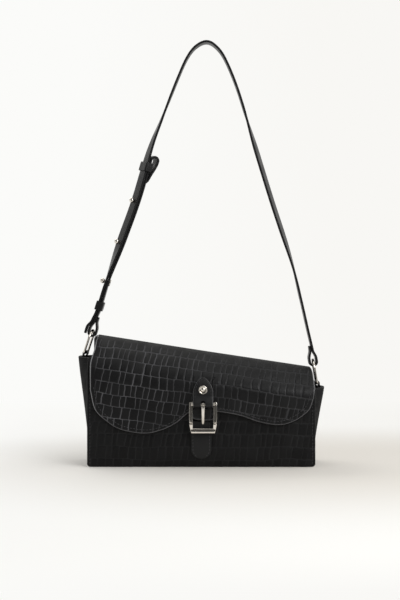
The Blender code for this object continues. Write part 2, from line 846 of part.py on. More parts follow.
def tongue_rivet(metal, parent):
    """Domed head in front, shank through all layers and a flat cap behind the lining."""
    front = front_y(BUCKLE_X, RIVET_HEIGHT, -FRONT_LAYER - TOUCH)
    cap_radius = RIVET_SHANK_RADIUS + 2 * RIVET_CAP
    back = front_y(BUCKLE_X, RIVET_HEIGHT + cap_radius, LINING_DEPTH + LINING + TOUCH)
    profile = [(0, -RIVET_CAP), (cap_radius, -RIVET_CAP), (cap_radius, 0)]
    profile += [(RIVET_SHANK_RADIUS, 0), (RIVET_SHANK_RADIUS, back - front)]
    rim = RIVET_HEAD_RISE / 4
    profile += [(RIVET_HEAD_RADIUS, back - front), (RIVET_HEAD_RADIUS, back - front + rim)]
    for k in (1, 2, 3):
        angle = math.pi / 2 * k / 4
        rise = rim + (RIVET_HEAD_RISE - rim) * math.sin(angle)
        profile.append((RIVET_HEAD_RADIUS * math.cos(angle), back - front + rise))
    profile.append((0, back - front + RIVET_HEAD_RISE))
    place = Vector((BUCKLE_X, back, RIVET_HEIGHT))
    return turned("tongue_rivet", profile, 20, place, Vector((0, -1, 0)), metal, parent)


def arc(x, z, radius, start, end, steps):
    """Points on an arc, with angles in degrees from +X towards +Z."""
    found = []
    for k in range(steps + 1):
        angle = math.radians(blend(start, end, k / steps))
        found.append((x + radius * math.cos(angle), z + radius * math.sin(angle)))
    return found


def buckle_frame(metal, parent):
    """A flat open frame whose side bars carry a round heel bar."""
    window = BUCKLE_WINDOW / 2
    outer = window + BUCKLE_SIDE_BAR
    end = BUCKLE_SIDE_BAR / 2
    low = BUCKLE_BOTTOM_HEIGHT
    high = HEEL_HEIGHT + HEEL_RADIUS + BUCKLE_BEVEL
    inner_low = low + BUCKLE_LOWER_BAR
    corner = BUCKLE_CORNER
    fillet = BUCKLE_CORNER / 2
    foot = outer - BUCKLE_TAPER - corner
    outline = [(-outer, low + BUCKLE_TAPER_HEIGHT)]
    outline += arc(-foot, low + corner, corner, 180, 270, 3)
    outline += arc(foot, low + corner, corner, 270, 360, 3)
    outline += [(outer, low + BUCKLE_TAPER_HEIGHT)]
    outline += arc(window + end, high - end, end, 0, 180, 6)
    outline += arc(window - fillet, inner_low + fillet, fillet, 360, 270, 2)
    outline += arc(-window + fillet, inner_low + fillet, fillet, 270, 180, 2)
    outline += arc(-window - end, high - end, end, 0, 180, 6)
    count = len(outline)
    front = HEEL_Y - BUCKLE_THICKNESS / 2
    back = HEEL_Y + BUCKLE_THICKNESS / 2
    points = [Vector((BUCKLE_X + x, front, z)) for x, z in outline]
    points += [Vector((BUCKLE_X + x, back, z)) for x, z in outline]
    faces = [tuple(range(count)), tuple(range(2 * count - 1, count - 1, -1))]
    for k in range(count):
        after = (k + 1) % count
        faces.append((k, k + count, after + count, after))
    made = add_object("buckle_frame", mesh_from("buckle_frame", points, faces), metal, parent)
    soften = made.modifiers.new("Bevel", "BEVEL")
    soften.width = BUCKLE_BEVEL
    soften.segments = 2
    soften.limit_method = "ANGLE"
    soften.angle_limit = math.radians(50)
    reach = window + end
    profile = ((0, -reach), (HEEL_RADIUS, -reach), (HEEL_RADIUS, reach), (0, reach))
    place = Vector((BUCKLE_X, HEEL_Y, HEEL_HEIGHT))
    join(made, turned("heel_bar", profile, 14, place, Vector((1, 0, 0)), metal))
    return made


def buckle_prong(metal, parent):
    """A ring round the heel bar with a flat tapered shank."""
    inner = HEEL_RADIUS + PRONG_RING_PLAY
    half = PRONG_WIDTH / 2
    profile = (
        (inner, -half),
        (PRONG_RING_RADIUS, -half),
        (PRONG_RING_RADIUS, half),
        (inner, half),
        (inner, -half),
    )
    place = Vector((BUCKLE_X, HEEL_Y, HEEL_HEIGHT))
    made = turned("buckle_prong", profile, 20, place, Vector((1, 0, 0)), metal, parent)
    middle = (inner + PRONG_RING_RADIUS) / 2
    low = PRONG_TIP_HEIGHT
    top = HEEL_HEIGHT + TOUCH
    places = []
    halves = []
    for share in (0, 0.3, 0.55, 0.75, 0.9, 0.97, 1):
        z = blend(top, low, share)
        y = HEEL_Y - middle + PRONG_BEND * share**3
        places.append(Vector((BUCKLE_X, y, z)))
        halves.append(blend(half - TOUCH, PRONG_TIP_WIDTH / 2, share**2))
    halves[-1] = PRONG_TIP_WIDTH / 4
    stations = with_frames(places, [Vector((1, 0, 0))] * len(places), halves)
    join(made, ribbon("prong_shank", stations, PRONG_THICKNESS, metal))
    return made


def front_tab(leather):
    """The lower buckle strap, sewn to the front panel with its upper end free."""
    low = TAB_BOTTOM_HEIGHT
    high = SNAP_HEIGHT - TAB_BELOW_SNAP
    y = -HALF_DEPTH - TOUCH - LEATHER / 2
    places = []
    halves = []
    for share in (0.02, 0.15, 0.4, 0.7, 1):
        places.append(Vector((0, y, low + TAB_TIP_ROUND * share)))
        halves.append(TAB_WIDTH / 2 * (0.55 + 0.45 * math.sqrt(1 - (1 - share) ** 2)))
    places.append(Vector((0, y, high)))
    halves.append(TAB_WIDTH / 2)
    stations = with_frames(places, [Vector((1, 0, 0))] * len(places), halves)
    return ribbon("front_tab", stations, LEATHER, leather)


def snap_socket(metal):
    hole = SNAP_CORE_RADIUS + SNAP_CORE_PLAY
    rim = SNAP_FLANGE + SNAP_RING
    profile = (
        (0, 0),
        (SNAP_FLANGE_RADIUS, 0),
        (SNAP_FLANGE_RADIUS, SNAP_FLANGE),
        (SNAP_RING_RADIUS, SNAP_FLANGE),
        (SNAP_RING_RADIUS, rim),
        (hole, rim),
        (hole, SNAP_FLANGE),
        (0, SNAP_FLANGE),
    )
    place = Vector((BUCKLE_X, -HALF_DEPTH - TOUCH, SNAP_HEIGHT))
    return turned("snap_socket", profile, 20, place, Vector((0, -1, 0)), metal)


def snap_stud(metal, parent):
    reach = SNAP_FLANGE + SNAP_CORE
    profile = (
        (0, 0),
        (SNAP_FLANGE_RADIUS, 0),
        (SNAP_FLANGE_RADIUS, SNAP_FLANGE),
        (SNAP_CORE_RADIUS, SNAP_FLANGE),
        (SNAP_CORE_RADIUS, reach),
        (0, reach),
    )
    y = front_y(BUCKLE_X, SNAP_HEIGHT, LINING_DEPTH + LINING + TOUCH)
    place = Vector((BUCKLE_X, y, SNAP_HEIGHT))
    return turned("snap_stud", profile, 20, place, Vector((0, 1, 0)), metal, parent)


# Rings and their tabs

ACROSS = Vector((0, 1, 0))


def ring_frame(side):
    """The bow's centre, the way up along the leaning ring and the way out of the bag."""
    lean = LEFT_RING_LEAN if side < 0 else RIGHT_RING_LEAN
    up = Vector((-side * math.sin(lean), 0, math.cos(lean)))
    out = Vector((side * math.cos(lean), 0, math.sin(lean)))
    bar_height = mouth_height(side * BODY_WIDTH / 2) + RING_BAR_ABOVE_GUSSET
    bar = Vector((side * RING_BAR_X, RING_Y, bar_height))
    return bar + up * (RING_LENGTH - RING_BOW_RADIUS), up, out


def d_ring(side, name, metal):
    """Round wire bent to a D, swept as a closed tube."""
    bow, up, out = ring_frame(side)
    leg = RING_LENGTH - RING_BOW_RADIUS
    corner = RING_CORNER
    path = arc(0, 0, RING_BOW_RADIUS, 0, 180, 12)
    path += arc(-RING_BOW_RADIUS + corner, -leg + corner, corner, 180, 270, 3)
    path += arc(RING_BOW_RADIUS - corner, -leg + corner, corner, 270, 360, 3)
    count = len(path)
    sides = 10
    places = [bow + Vector((0, y, 0)) + up * v for y, v in path]
    points = []
    faces = []
    for i, place in enumerate(places):
        tangent = (places[(i + 1) % count] - places[i - 1]).normalized()
        across_wire = tangent.cross(out).normalized()
        for k in range(sides):
            angle = math.tau * k / sides
            spot = out * math.cos(angle) + across_wire * math.sin(angle)
            points.append(place + spot * RING_WIRE_RADIUS)
    for i in range(count):
        following = (i + 1) % count
        for k in range(sides):
            after = (k + 1) % sides
            faces.append(
                (i * sides + k, i * sides + after, following * sides + after, following * sides + k)
            )
    mesh = mesh_from(name, points, faces)
    work = bmesh.new()
    work.from_mesh(mesh)
    bmesh.ops.recalc_face_normals(work, faces=work.faces)
    work.to_mesh(mesh)
    work.free()
    return add_object(name, mesh, metal)


def gusset_inner_x(side, z):
    """Distance from the middle to the gusset's inner face, the least across a ring tab."""
    x_end = side * BODY_WIDTH / 2
    top = mouth_height(x_end)
    front, back = gusset_span(x_end, min(z, top), LEATHER + TOUCH)
    least = 1
    for edge in (-1, 1):
        share = (RING_Y + edge * RING_TAB_WIDTH / 2 - front) / (back - front)
        least = min(least, math.sin(math.pi * share))
    return BODY_WIDTH / 2 - GUSSET_INSET - LEATHER + gusset_flare(min(z, top), top) * least


def ring_tab(side, name, leather):
    """A strip looped over the ring's bar, with both ends sewn inside the gusset's mouth."""
    top = mouth_height(side * BODY_WIDTH / 2)
    bar_x = RING_BAR_X
    bar_z = top + RING_BAR_ABOVE_GUSSET
    low = top - RING_TAB_DROP
    settled = top - RING_BAR_ABOVE_GUSSET
    loop = RING_WIRE_RADIUS + TOUCH + RING_TAB_LEATHER / 2
    pitch = RING_TAB_LEATHER + TOUCH
    outer = []
    inner = []
    heights = [blend(low, settled, k / 3) for k in range(4)]
    heights += [blend(settled, bar_z, k / 4) for k in (1, 2, 3)]
    for z in heights:
        x = gusset_inner_x(side, z) - TOUCH - RING_TAB_LEATHER / 2
        share = ease((z - settled) / (bar_z - settled))
        outer.append((blend(x, bar_x + loop, share), z))
        inner.append((blend(x - pitch, bar_x - loop, share), z))
    path = outer + arc(bar_x, bar_z, loop, 0, 180, 8) + inner[::-1]
    places = [Vector((side * x, RING_Y, z)) for x, z in path]
    halves = [RING_TAB_WIDTH / 2] * len(places)
    stations = with_frames(places, [ACROSS] * len(places), halves)
    return ribbon(name, stations, RING_TAB_LEATHER, leather)


# Strap

PITCH = STRAP_LEATHER + TOUCH
RING_REACH = RING_BOW_RADIUS - RING_WIRE_RADIUS
EDGE_REACH = math.sqrt(RING_REACH**2 - (STRAP_WIDTH / 2) ** 2)
EYE_CENTRE = EDGE_REACH - TOUCH + EYE_RADIUS
EYE_HALF = EYE_RADIUS + STRAP_LEATHER / 2
EYE_TOP = EYE_CENTRE + EYE_LEG
CLOSED_TOP = EYE_TOP + EYE_CLOSE


def at_ring(side, v, n):
    """A place by a ring: v up along it from the bow's centre, n out of the bag."""
    bow, up, out = ring_frame(side)
    return bow + up * v + out * n


def eye_offset(v):
    """Distance of a loop's leg from the loop's middle at this height over the bow."""
    return blend(EYE_HALF, PITCH / 2, ease((v - EYE_TOP) / EYE_CLOSE))


def eye_path():
    """(v, n) down the main leg, round under the bow and up the folded-back end."""
    heights = [blend(CLOSED_TOP, EYE_TOP, k / 5) for k in (1, 2, 3, 4, 5)]
    path = [(v, eye_offset(v)) for v in heights]
    for k in range(9):
        angle = math.pi * k / 8
        path.append((EYE_CENTRE - EYE_HALF * math.sin(angle), EYE_HALF * math.cos(angle)))
    path += [(v, -eye_offset(v)) for v in heights[::-1]]
    path += [(CLOSED_TOP, -PITCH / 2), (CLOSED_TOP + END_LAP, -PITCH / 2)]
    return path


def tail_path():
    """(v, n) of the long strap's free end outside the left loop, from its tip up."""
    heights = [blend(CLOSED_TOP - TAIL_OVERHANG, EYE_TOP, share) for share in TAIL_SHARES]
    heights += [blend(EYE_TOP, CLOSED_TOP, k / 4) for k in (1, 2, 3)]
    path = []
    for v in heights:
        flare = TAIL_FLARE * ease((CLOSED_TOP - v) / EYE_CLOSE)
        path.append((v, eye_offset(v) + PITCH + flare))
    return path


def strap_route():
    """Places and twists along the line between the two layers, from left to right."""
    points = [at_ring(-1, CLOSED_TOP, PITCH)]
    for x_share, z_share in ROUTE_SHARES:
        x = ROUTE_SHIFT + x_share * BODY_WIDTH / 2
        z = blend(back_height(x), STRAP_APEX_HEIGHT, z_share)
        points.append(Vector((x, RING_Y, z)))
    points.append(at_ring(1, CLOSED_TOP, 0))
    first = at_ring(-1, EYE_TOP, PITCH)
    last = at_ring(1, EYE_TOP, 0)

    def steps(start, end):
        return max(1, round((end - start).length / STRAP_STEP))

    return curve_through(points, first, last, steps)


def twist_at(place):
    """How far the strap's outer face has turned to the front here."""
    peak = LEFT_TWIST if place.x < 0 else RIGHT_TWIST
    middle = LEFT_TWIST_HEIGHT if place.x < 0 else RIGHT_TWIST_HEIGHT
    reach = TWIST_REACH_DOWN if place.z < middle else TWIST_REACH_UP
    share = min(abs(place.z - middle) / reach, 1)
    return peak * math.cos(math.pi / 2 * share) ** 2


def frame_at(route, i):
    """The strap's outward normal and width direction at this station of its route."""
    before = route[max(i - 1, 0)]
    after = route[min(i + 1, len(route) - 1)]
    tangent = (after - before).normalized()
    twist = twist_at(route[i])
    normal = tangent.cross(ACROSS) * math.cos(twist) - ACROSS * math.sin(twist)
    return normal, normal.cross(tangent)


def route_index(route, height):
    """The station on the left leg whose height is nearest."""
    left = [i for i, place in enumerate(route) if place.x < -BODY_WIDTH / 12]
    return min(left, key=lambda i: abs(route[i].z - height))


def route_at(route, height):
    """Place, tangent, width direction and normal on the left leg at this height."""
    i = route_index(route, height)
    if route[i].z > height:
        i -= 1
    share = (height - route[i].z) / (route[i + 1].z - route[i].z)
    place = route[i].lerp(route[i + 1], share)
    tangent = (route[i + 1] - route[i]).normalized()
    normal = frame_at(route, i)[0].lerp(frame_at(route, i + 1)[0], share)
    normal = (normal - tangent * normal.dot(tangent)).normalized()
    return place, tangent, tangent.cross(normal), normal


def rounded_end(count, from_start, from_end, halves):
    """Narrows a strip's half widths at its ends to a blunt round tip."""
    for from_tip, index in ((from_start, range(count)), (from_end, range(count - 1, -1, -1))):
        for i in index:
            share = from_tip[i] / STRAP_TIP
            if share >= 1:
                break
            halves[i] *= 0.35 + 0.65 * math.sqrt(1 - (1 - share) ** 2)
    return halves


def lengths_from(places):
    """Length along the strip from its first place to each of the others."""
    run = [0.0]
    for start, end in zip(places, places[1:]):
        run.append(run[-1] + (end - start).length)
    return run


def strap_strip(name, places, sides, leather, parent):
    run = lengths_from(places)
    to_end = [run[-1] - done for done in run]
    halves = rounded_end(len(places), run, to_end, [STRAP_WIDTH / 2] * len(places))
    return ribbon(name, with_frames(places, sides, halves), STRAP_LEATHER, leather, parent)


def strap_long(route, leather, parent):
    places = [at_ring(-1, v, n) for v, n in tail_path()]
    sides = [ACROSS] * len(places)
    for i, place in enumerate(route):
        normal, side = frame_at(route, i)
        places.append(place + normal * (PITCH / 2))
        sides.append(side)
    loop = [at_ring(1, v, n) for v, n in eye_path()]
    return strap_strip("strap_long", places + loop, sides + [ACROSS] * len(loop), leather, parent)


def strap_short(route, leather, parent):
    """From the left ring's loop up to the fold over the upper keeper."""
    places = [at_ring(-1, v, n) for v, n in eye_path()][::-1]
    sides = [ACROSS] * len(places)
    top = route_index(route, FOLD_TOP_HEIGHT)
    for i in range(top + 1):
        normal, side = frame_at(route, i)
        places.append(route[i] - normal * (PITCH / 2))
        sides.append(side)
    normal, side = frame_at(route, top)
    up = side.cross(normal)
    radius = FOLD_EYE_RADIUS + STRAP_LEATHER / 2
    for k in range(1, 8):
        angle = math.pi * k / 8
        sunk = PITCH / 2 + radius * (1 - math.cos(angle))
        places.append(route[top] - normal * sunk + up * (radius * math.sin(angle)))
        sides.append(side)
    for i in range(top, 0, -1):
        down = (route[top] - route[i]).length
        if down > FOLD_EYE_CLOSE + FOLD_END_LAP:
            break
        normal, side = frame_at(route, i)
        sunk = blend(PITCH / 2 + 2 * radius, 1.5 * PITCH, ease(down / FOLD_EYE_CLOSE))
        places.append(route[i] - normal * sunk)
        sides.append(side)
    return strap_strip("strap_short", places, sides, leather, parent)


def keeper(name, route, height, leather, parent):
    """A leather loop round the two straps."""
    place, along, wide, normal = route_at(route, height)
    half_wide = STRAP_WIDTH / 2 + KEEPER_PLAY
    half_deep = PITCH / 2 + STRAP_LEATHER / 2 + KEEPER_PLAY
    wall = KEEPER_WALL
    loops = []
    for end in (-1, 1):
        for grow in (0, wall):
            round_off = KEEPER_PLAY + grow
            loop = []
            for a, b in ((1, 1), (-1, 1), (-1, -1), (1, -1)):
                x = a * (half_wide + grow - round_off)
                y = b * (half_deep + grow - round_off)
                start = math.degrees(math.atan2(b, a)) - 45
                loop += arc(x, y, round_off, start, start + 90, 2)
            origin = place + along * (end * KEEPER_LENGTH / 2)
            loops.append([origin + wide * x + normal * y for x, y in loop])
    count = len(loops[0])
    order = [0, 1, 3, 2]
    points = [point for index in order for point in loops[index]]
    faces = []
    for ring in range(4):
        following = (ring + 1) % 4
        for k in range(count):
            after = (k + 1) % count
            faces.append(
                (
                    ring * count + k,
                    ring * count + after,
                    following * count + after,
                    following * count + k,
                )
            )
    mesh = mesh_from(name, points, faces)
    work = bmesh.new()
    work.from_mesh(mesh)
    bmesh.ops.recalc_face_normals(work, faces=work.faces)
    work.to_mesh(mesh)
    work.free()
    return add_object(name, mesh, leather, parent)


def strap_stud(name, route, height, metal, parent):
    """A ball stud: round foot inside, neck through both straps, ball outside."""
    place, _, _, normal = route_at(route, height)
    inside = -PITCH / 2 - STRAP_LEATHER / 2 - TOUCH
    outside = -inside
    ball = outside + STUD_BALL_RADIUS * 0.85
    profile = [(0, inside - STUD_BASE), (STUD_BASE_RADIUS, inside - STUD_BASE)]
    profile += [(STUD_BASE_RADIUS, inside), (STUD_NECK_RADIUS, inside)]
    for k in range(7):
        angle = math.radians(blend(-57, 70, k / 6))
        profile.append((STUD_BALL_RADIUS * math.cos(angle), ball + STUD_BALL_RADIUS * math.sin(angle)))
    profile.append((0, ball + STUD_BALL_RADIUS))
    return turned(name, profile, 14, place, normal, metal, parent)


def stud_cutter(name, route, height, material):
    place, _, _, normal = route_at(route, height)
    reach = 2 * PITCH
    radius = STUD_NECK_RADIUS + STUD_HOLE_PLAY
    profile = ((0, -reach), (radius, -reach), (radius, reach), (0, reach))
    return turned(name, profile, 12, place, normal, material)


def main():
    clear_scene()
    croc = make_material("black_croc_leather", LEATHER_COLOUR, 0.42)
    leather = make_material("black_strap_leather", LEATHER_COLOUR, 0.38)
    fabric = make_material("lining_fabric", LINING_COLOUR, 0.85)
    card = make_material("stiffening_board", BOARD_COLOUR, 0.9)
    metal = make_material("polished_nickel", METAL_COLOUR, 0.16, 1.0)

    front_panel(croc)
    back_panel(croc)
    gusset(-1, "gusset_left", croc)
    gusset(1, "gusset_right", croc)
    lining(fabric)
    base_board(card)
    inner_pocket(fabric)
    front_tab(leather)
    snap_socket(metal)
    for side, name in ((-1, "left"), (1, "right")):
        d_ring(side, f"d_ring_{name}", metal)
        ring_tab(side, f"ring_tab_{name}", leather)

    flap_hinge = add_pivot("flap_hinge", FOLD_MIDDLE, -FOLD_AXIS)
    flap = flap_sheet("flap", 0, FLAP_LEATHER, 0, croc, flap_hinge)
    cut(flap, rivet_cutter("flap_hole_cutter", metal))
    back = flap_sheet("flap_lining", LINING_DEPTH, LINING, LINING_INSET, fabric, flap_hinge)
    cut(back, rivet_cutter("flap_lining_hole_cutter", metal))
    buckle_tongue(leather, metal, flap_hinge)
    tongue_rivet(metal, flap_hinge)
    snap_stud(metal, flap_hinge)

    heel = Vector((BUCKLE_X, HEEL_Y, HEEL_HEIGHT))
    buckle_frame(metal, add_pivot("frame_hinge", heel, Vector((-1, 0, 0)), flap_hinge))
    buckle_prong(metal, add_pivot("prong_hinge", heel, Vector((-1, 0, 0)), flap_hinge))

    left_bow, _, _ = ring_frame(-1)
    right_bow, _, _ = ring_frame(1)
    swing = add_pivot("strap_swing", (left_bow + right_bow) / 2, right_bow - left_bow)
    route = strap_route()
    long_strap = strap_long(route, leather, swing)
    short_strap = strap_short(route, leather, swing)
    for number, height in enumerate(STUD_HEIGHTS, 1):
        strap_stud(f"strap_stud_{number}", route, height, metal, swing)
        cut(long_strap, stud_cutter(f"long_hole_cutter_{number}", route, height, metal))
        cut(short_strap, stud_cutter(f"short_hole_cutter_{number}", route, height, metal))
    fold_height = route[route_index(route, FOLD_TOP_HEIGHT)].z
    upper_height = fold_height - UPPER_KEEPER_DROP
    keeper("keeper_upper", route, upper_height, leather, swing)
    place, along, _, _ = route_at(route, LOWER_KEEPER_HEIGHT)
    slide = add_pivot("keeper_slide", place, along, swing)
    keeper("keeper_lower", route, LOWER_KEEPER_HEIGHT, leather, slide)


main()
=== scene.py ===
"""The looks of the crossbody bag, section by section as the real bag is put together."""

import math

import bmesh
import bpy
from mathutils import Matrix, Vector, noise


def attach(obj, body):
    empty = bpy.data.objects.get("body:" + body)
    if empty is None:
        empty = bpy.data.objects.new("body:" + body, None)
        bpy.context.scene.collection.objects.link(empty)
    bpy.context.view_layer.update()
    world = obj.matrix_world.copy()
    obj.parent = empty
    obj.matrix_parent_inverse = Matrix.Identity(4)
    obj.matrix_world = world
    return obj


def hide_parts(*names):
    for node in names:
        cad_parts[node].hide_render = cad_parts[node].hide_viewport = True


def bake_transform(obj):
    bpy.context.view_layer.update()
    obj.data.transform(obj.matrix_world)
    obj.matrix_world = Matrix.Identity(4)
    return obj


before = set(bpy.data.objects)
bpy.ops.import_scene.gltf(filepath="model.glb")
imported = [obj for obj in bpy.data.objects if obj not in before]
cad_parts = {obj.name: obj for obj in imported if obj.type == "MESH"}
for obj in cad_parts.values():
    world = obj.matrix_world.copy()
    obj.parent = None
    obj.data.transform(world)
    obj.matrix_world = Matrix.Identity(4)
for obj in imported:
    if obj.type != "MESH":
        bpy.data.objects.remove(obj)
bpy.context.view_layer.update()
bpy.ops.object.select_all(action="DESELECT")


# Front and base hide
# One piece of calf, embossed with a crocodile pattern. It starts at the seam under the base,
# rolls round the lower front edge and stands up to the mouth. Its cut edges are painted black.

BODY_WIDTH = 0.280
HALF_DEPTH = 0.0375
BACK_LEFT, BACK_RIGHT = 0.161, 0.120
MOUTH_LEFT, MOUTH_RIGHT = 0.1345, 0.0965
ARCH_LEFT, ARCH_RIGHT = 0.054, 0.036
BASE_ROUND = 0.004
CORNER_ROUND = 0.004
CROWN_Y = 0.026
FLAP_FRONT = 0.0443
BASE_SEAM_Y = 0.024
HIDE_THICK = 0.0020
FRONT_FULLNESS = 0.0018
FULLEST_HEIGHT = 0.022
FULLNESS_REACH = 0.042


def linear(colour):
    """A linear colour from its sRGB hex value."""
    parts = [int(colour[i : i + 2], 16) / 255 for i in (0, 2, 4)]
    return tuple(p / 12.92 if p <= 0.04045 else ((p + 0.055) / 1.055) ** 2.4 for p in parts) + (1,)


def set_sockets(tree, node, sockets):
    """Gives each of a node's sockets its value, or its link where the value is an output."""
    for socket, value in sockets.items():
        if isinstance(value, bpy.types.NodeSocket):
            tree.links.new(value, node.inputs[socket])
        else:
            node.inputs[socket].default_value = value


def add_node(tree, kind, sockets=None, **settings):
    """Adds a node with its settings, its values and its links, and gives its outputs."""
    made = tree.nodes.new(kind)
    for name, value in settings.items():
        setattr(made, name, value)
    set_sockets(tree, made, sockets or {})
    return made.outputs


def new_finish(name):
    """A node material with its shader, ready for its pattern."""
    made = bpy.data.materials.new(name)
    made.use_nodes = True
    return made, made.node_tree, made.node_tree.nodes["Principled BSDF"]


def croc_calf(
    name, groove_grey_dust_and_glint, tiles=("080809", "111112"), matt=0.0, level=0.23, tile_width=0.0087
):
    """Black calf plated with a crocodile embossing: rows 15 mm apart of tiles about 9 mm wide, wider
    on the gussets, with 1 mm grooves. The hot plate glazes the tile faces; the grooves are a duller
    grey, partly grime and partly a painted reflection of light in their walls, and are painted lighter
    towards the left, standing in for light that falls from the left."""
    made, tree, shader = new_finish(name)
    spot = add_node(tree, "ShaderNodeUVMap", uv_map="hide")[0]
    # The grid of tiles drifts slowly over the hide, and each groove wavers a little
    moved = spot
    for scale, detail, reach in ((19.0, 1.5, 0.0065), (170.0, 1.0, 0.0012)):
        waves = {"Vector": spot, "Scale": scale, "Detail": detail}
        shift = add_node(tree, "ShaderNodeTexNoise", waves, noise_dimensions="2D")[1]
        shift = add_node(
            tree, "ShaderNodeVectorMath", {0: shift, 1: (0.5, 0.5, 0.5)}, operation="SUBTRACT"
        )[0]
        shift = add_node(tree, "ShaderNodeVectorMath", {0: shift, "Scale": reach}, operation="SCALE")[0]
        moved = add_node(tree, "ShaderNodeVectorMath", {0: moved, 1: shift}, operation="ADD")[0]
    parts = add_node(tree, "ShaderNodeSeparateXYZ", {0: moved})
    row_height = 0.0154
    row_at = add_node(tree, "ShaderNodeMath", {0: parts[1], 1: row_height}, operation="DIVIDE")[0]
    row = add_node(tree, "ShaderNodeMath", {0: row_at}, operation="FLOOR")[0]
    down = add_node(tree, "ShaderNodeMath", {0: row_at}, operation="FRACT")[0]
    chance = add_node(tree, "ShaderNodeTexWhiteNoise", {"W": row}, noise_dimensions="1D")[0]
    width = add_node(
        tree, "ShaderNodeMapRange", {0: chance, 3: tile_width * 0.85, 4: tile_width * 1.22}
    )[0]
    leant = add_node(
        tree, "ShaderNodeMath", {0: down, 1: 0.0024, 2: parts[0]}, operation="MULTIPLY_ADD"
    )[0]
    column_at = add_node(tree, "ShaderNodeMath", {0: leant, 1: width}, operation="DIVIDE")[0]
    column_at = add_node(
        tree, "ShaderNodeMath", {0: chance, 1: 17.3, 2: column_at}, operation="MULTIPLY_ADD"
    )[0]
    where = add_node(tree, "ShaderNodeMath", {0: row, 1: 3.7}, operation="MULTIPLY")[0]
    where = add_node(tree, "ShaderNodeCombineXYZ", {0: column_at, 1: where})[0]
    uneven = add_node(
        tree, "ShaderNodeTexNoise", {"Vector": where, "Scale": 0.9, "Detail": 0.0}, noise_dimensions="2D"
    )[0]
    column_at = add_node(
        tree, "ShaderNodeMath", {0: uneven, 1: 0.75, 2: column_at}, operation="MULTIPLY_ADD"
    )[0]
    column = add_node(tree, "ShaderNodeMath", {0: column_at}, operation="FLOOR")[0]
    side = add_node(tree, "ShaderNodeMath", {0: column_at, 1: 0.5}, operation="PINGPONG")[0]
    side = add_node(tree, "ShaderNodeMath", {0: side, 1: width}, operation="MULTIPLY")[0]
    end = add_node(tree, "ShaderNodeMath", {0: row_at, 1: 0.5}, operation="PINGPONG")[0]
    end = add_node(
        tree, "ShaderNodeMath", {0: end, 1: row_height, 2: 0.0001}, operation="MULTIPLY_ADD"
    )[0]
    to_groove = add_node(tree, "ShaderNodeMath", {0: side, 1: end, 2: 0.0016}, operation="SMOOTH_MIN")[0]
    tile = add_node(tree, "ShaderNodeCombineXYZ", {0: column, 1: row})[0]
    tone = add_node(tree, "ShaderNodeTexWhiteNoise", {"Vector": tile}, noise_dimensions="2D")[0]
    # The plate presses lightly along the fold, where the hide is smooth
    plain = add_node(tree, "ShaderNodeSeparateXYZ", {0: spot})[1]
    plain = add_node(tree, "ShaderNodeMath", {0: plain, 1: 0.0}, operation="ABSOLUTE")[0]
    pressed = add_node(
        tree,
        "ShaderNodeMapRange",
        {0: plain, 1: 0.0015, 2: 0.006, 3: 0.0, 4: 1.0},
        interpolation_type="SMOOTHSTEP",
    )[0]
    # and beside the left edge, where it was pared thin
    margin = add_node(tree, "ShaderNodeSeparateXYZ", {0: spot})[0]
    margin = add_node(tree, "ShaderNodeMapRange", {0: margin, 1: -0.1310, 2: -0.1265})[0]
    pressed = add_node(tree, "ShaderNodeMath", {0: pressed, 1: margin}, operation="MULTIPLY")[0]
    groove = add_node(
        tree,
        "ShaderNodeMapRange",
        {0: to_groove, 1: 0.00012, 2: 0.00075, 3: 1.0, 4: 0.0},
        interpolation_type="SMOOTHSTEP",
    )[0]
    groove = add_node(tree, "ShaderNodeMath", {0: groove, 1: pressed}, operation="MULTIPLY")[0]
    # Grey grime in the grooves comes and goes over the hide; their grey is also a painted reflection of
    # light in the groove walls
    cloud = add_node(
        tree, "ShaderNodeTexNoise", {"Vector": spot, "Scale": 26.0, "Detail": 2.0}, noise_dimensions="2D"
    )[0]
    groove_dust_and_light = add_node(tree, "ShaderNodeMapRange", {0: cloud, 1: 0.3, 2: 0.7, 3: 0.5, 4: 1.0})[0]
    # Painted light: the grooves are painted lighter towards the left, standing in for light falling from
    # the left
    lit_from_left = add_node(tree, "ShaderNodeSeparateXYZ", {0: spot})[0]
    lit_from_left = add_node(tree, "ShaderNodeMapRange", {0: lit_from_left, 1: -0.09, 2: 0.03, 3: 1.0, 4: 0.36})[0]
    groove_dust_and_light = add_node(tree, "ShaderNodeMath", {0: groove_dust_and_light, 1: lit_from_left}, operation="MULTIPLY")[0]
    dusty_lit_groove = add_node(tree, "ShaderNodeMath", {0: groove, 1: groove_dust_and_light}, operation="MULTIPLY")[0]
    face = add_node(
        tree, "ShaderNodeMix", {0: tone, 6: linear(tiles[0]), 7: linear(tiles[1])}, data_type="RGBA"
    )[2]
    colour = add_node(
        tree, "ShaderNodeMix", {0: dusty_lit_groove, 6: face, 7: linear(groove_grey_dust_and_glint)}, data_type="RGBA"
    )[2]
    wear = add_node(
        tree, "ShaderNodeTexNoise", {"Vector": spot, "Scale": 60.0, "Detail": 3.0}, noise_dimensions="2D"
    )[0]
    gloss = add_node(
        tree, "ShaderNodeMapRange", {0: wear, 1: 0.25, 2: 0.75, 3: 0.35 + matt, 4: 0.46 + matt}
    )[0]
    gloss = add_node(
        tree, "ShaderNodeMix", {0: groove, 2: gloss, 3: 0.66 + matt / 2}, data_type="FLOAT"
    )[0]
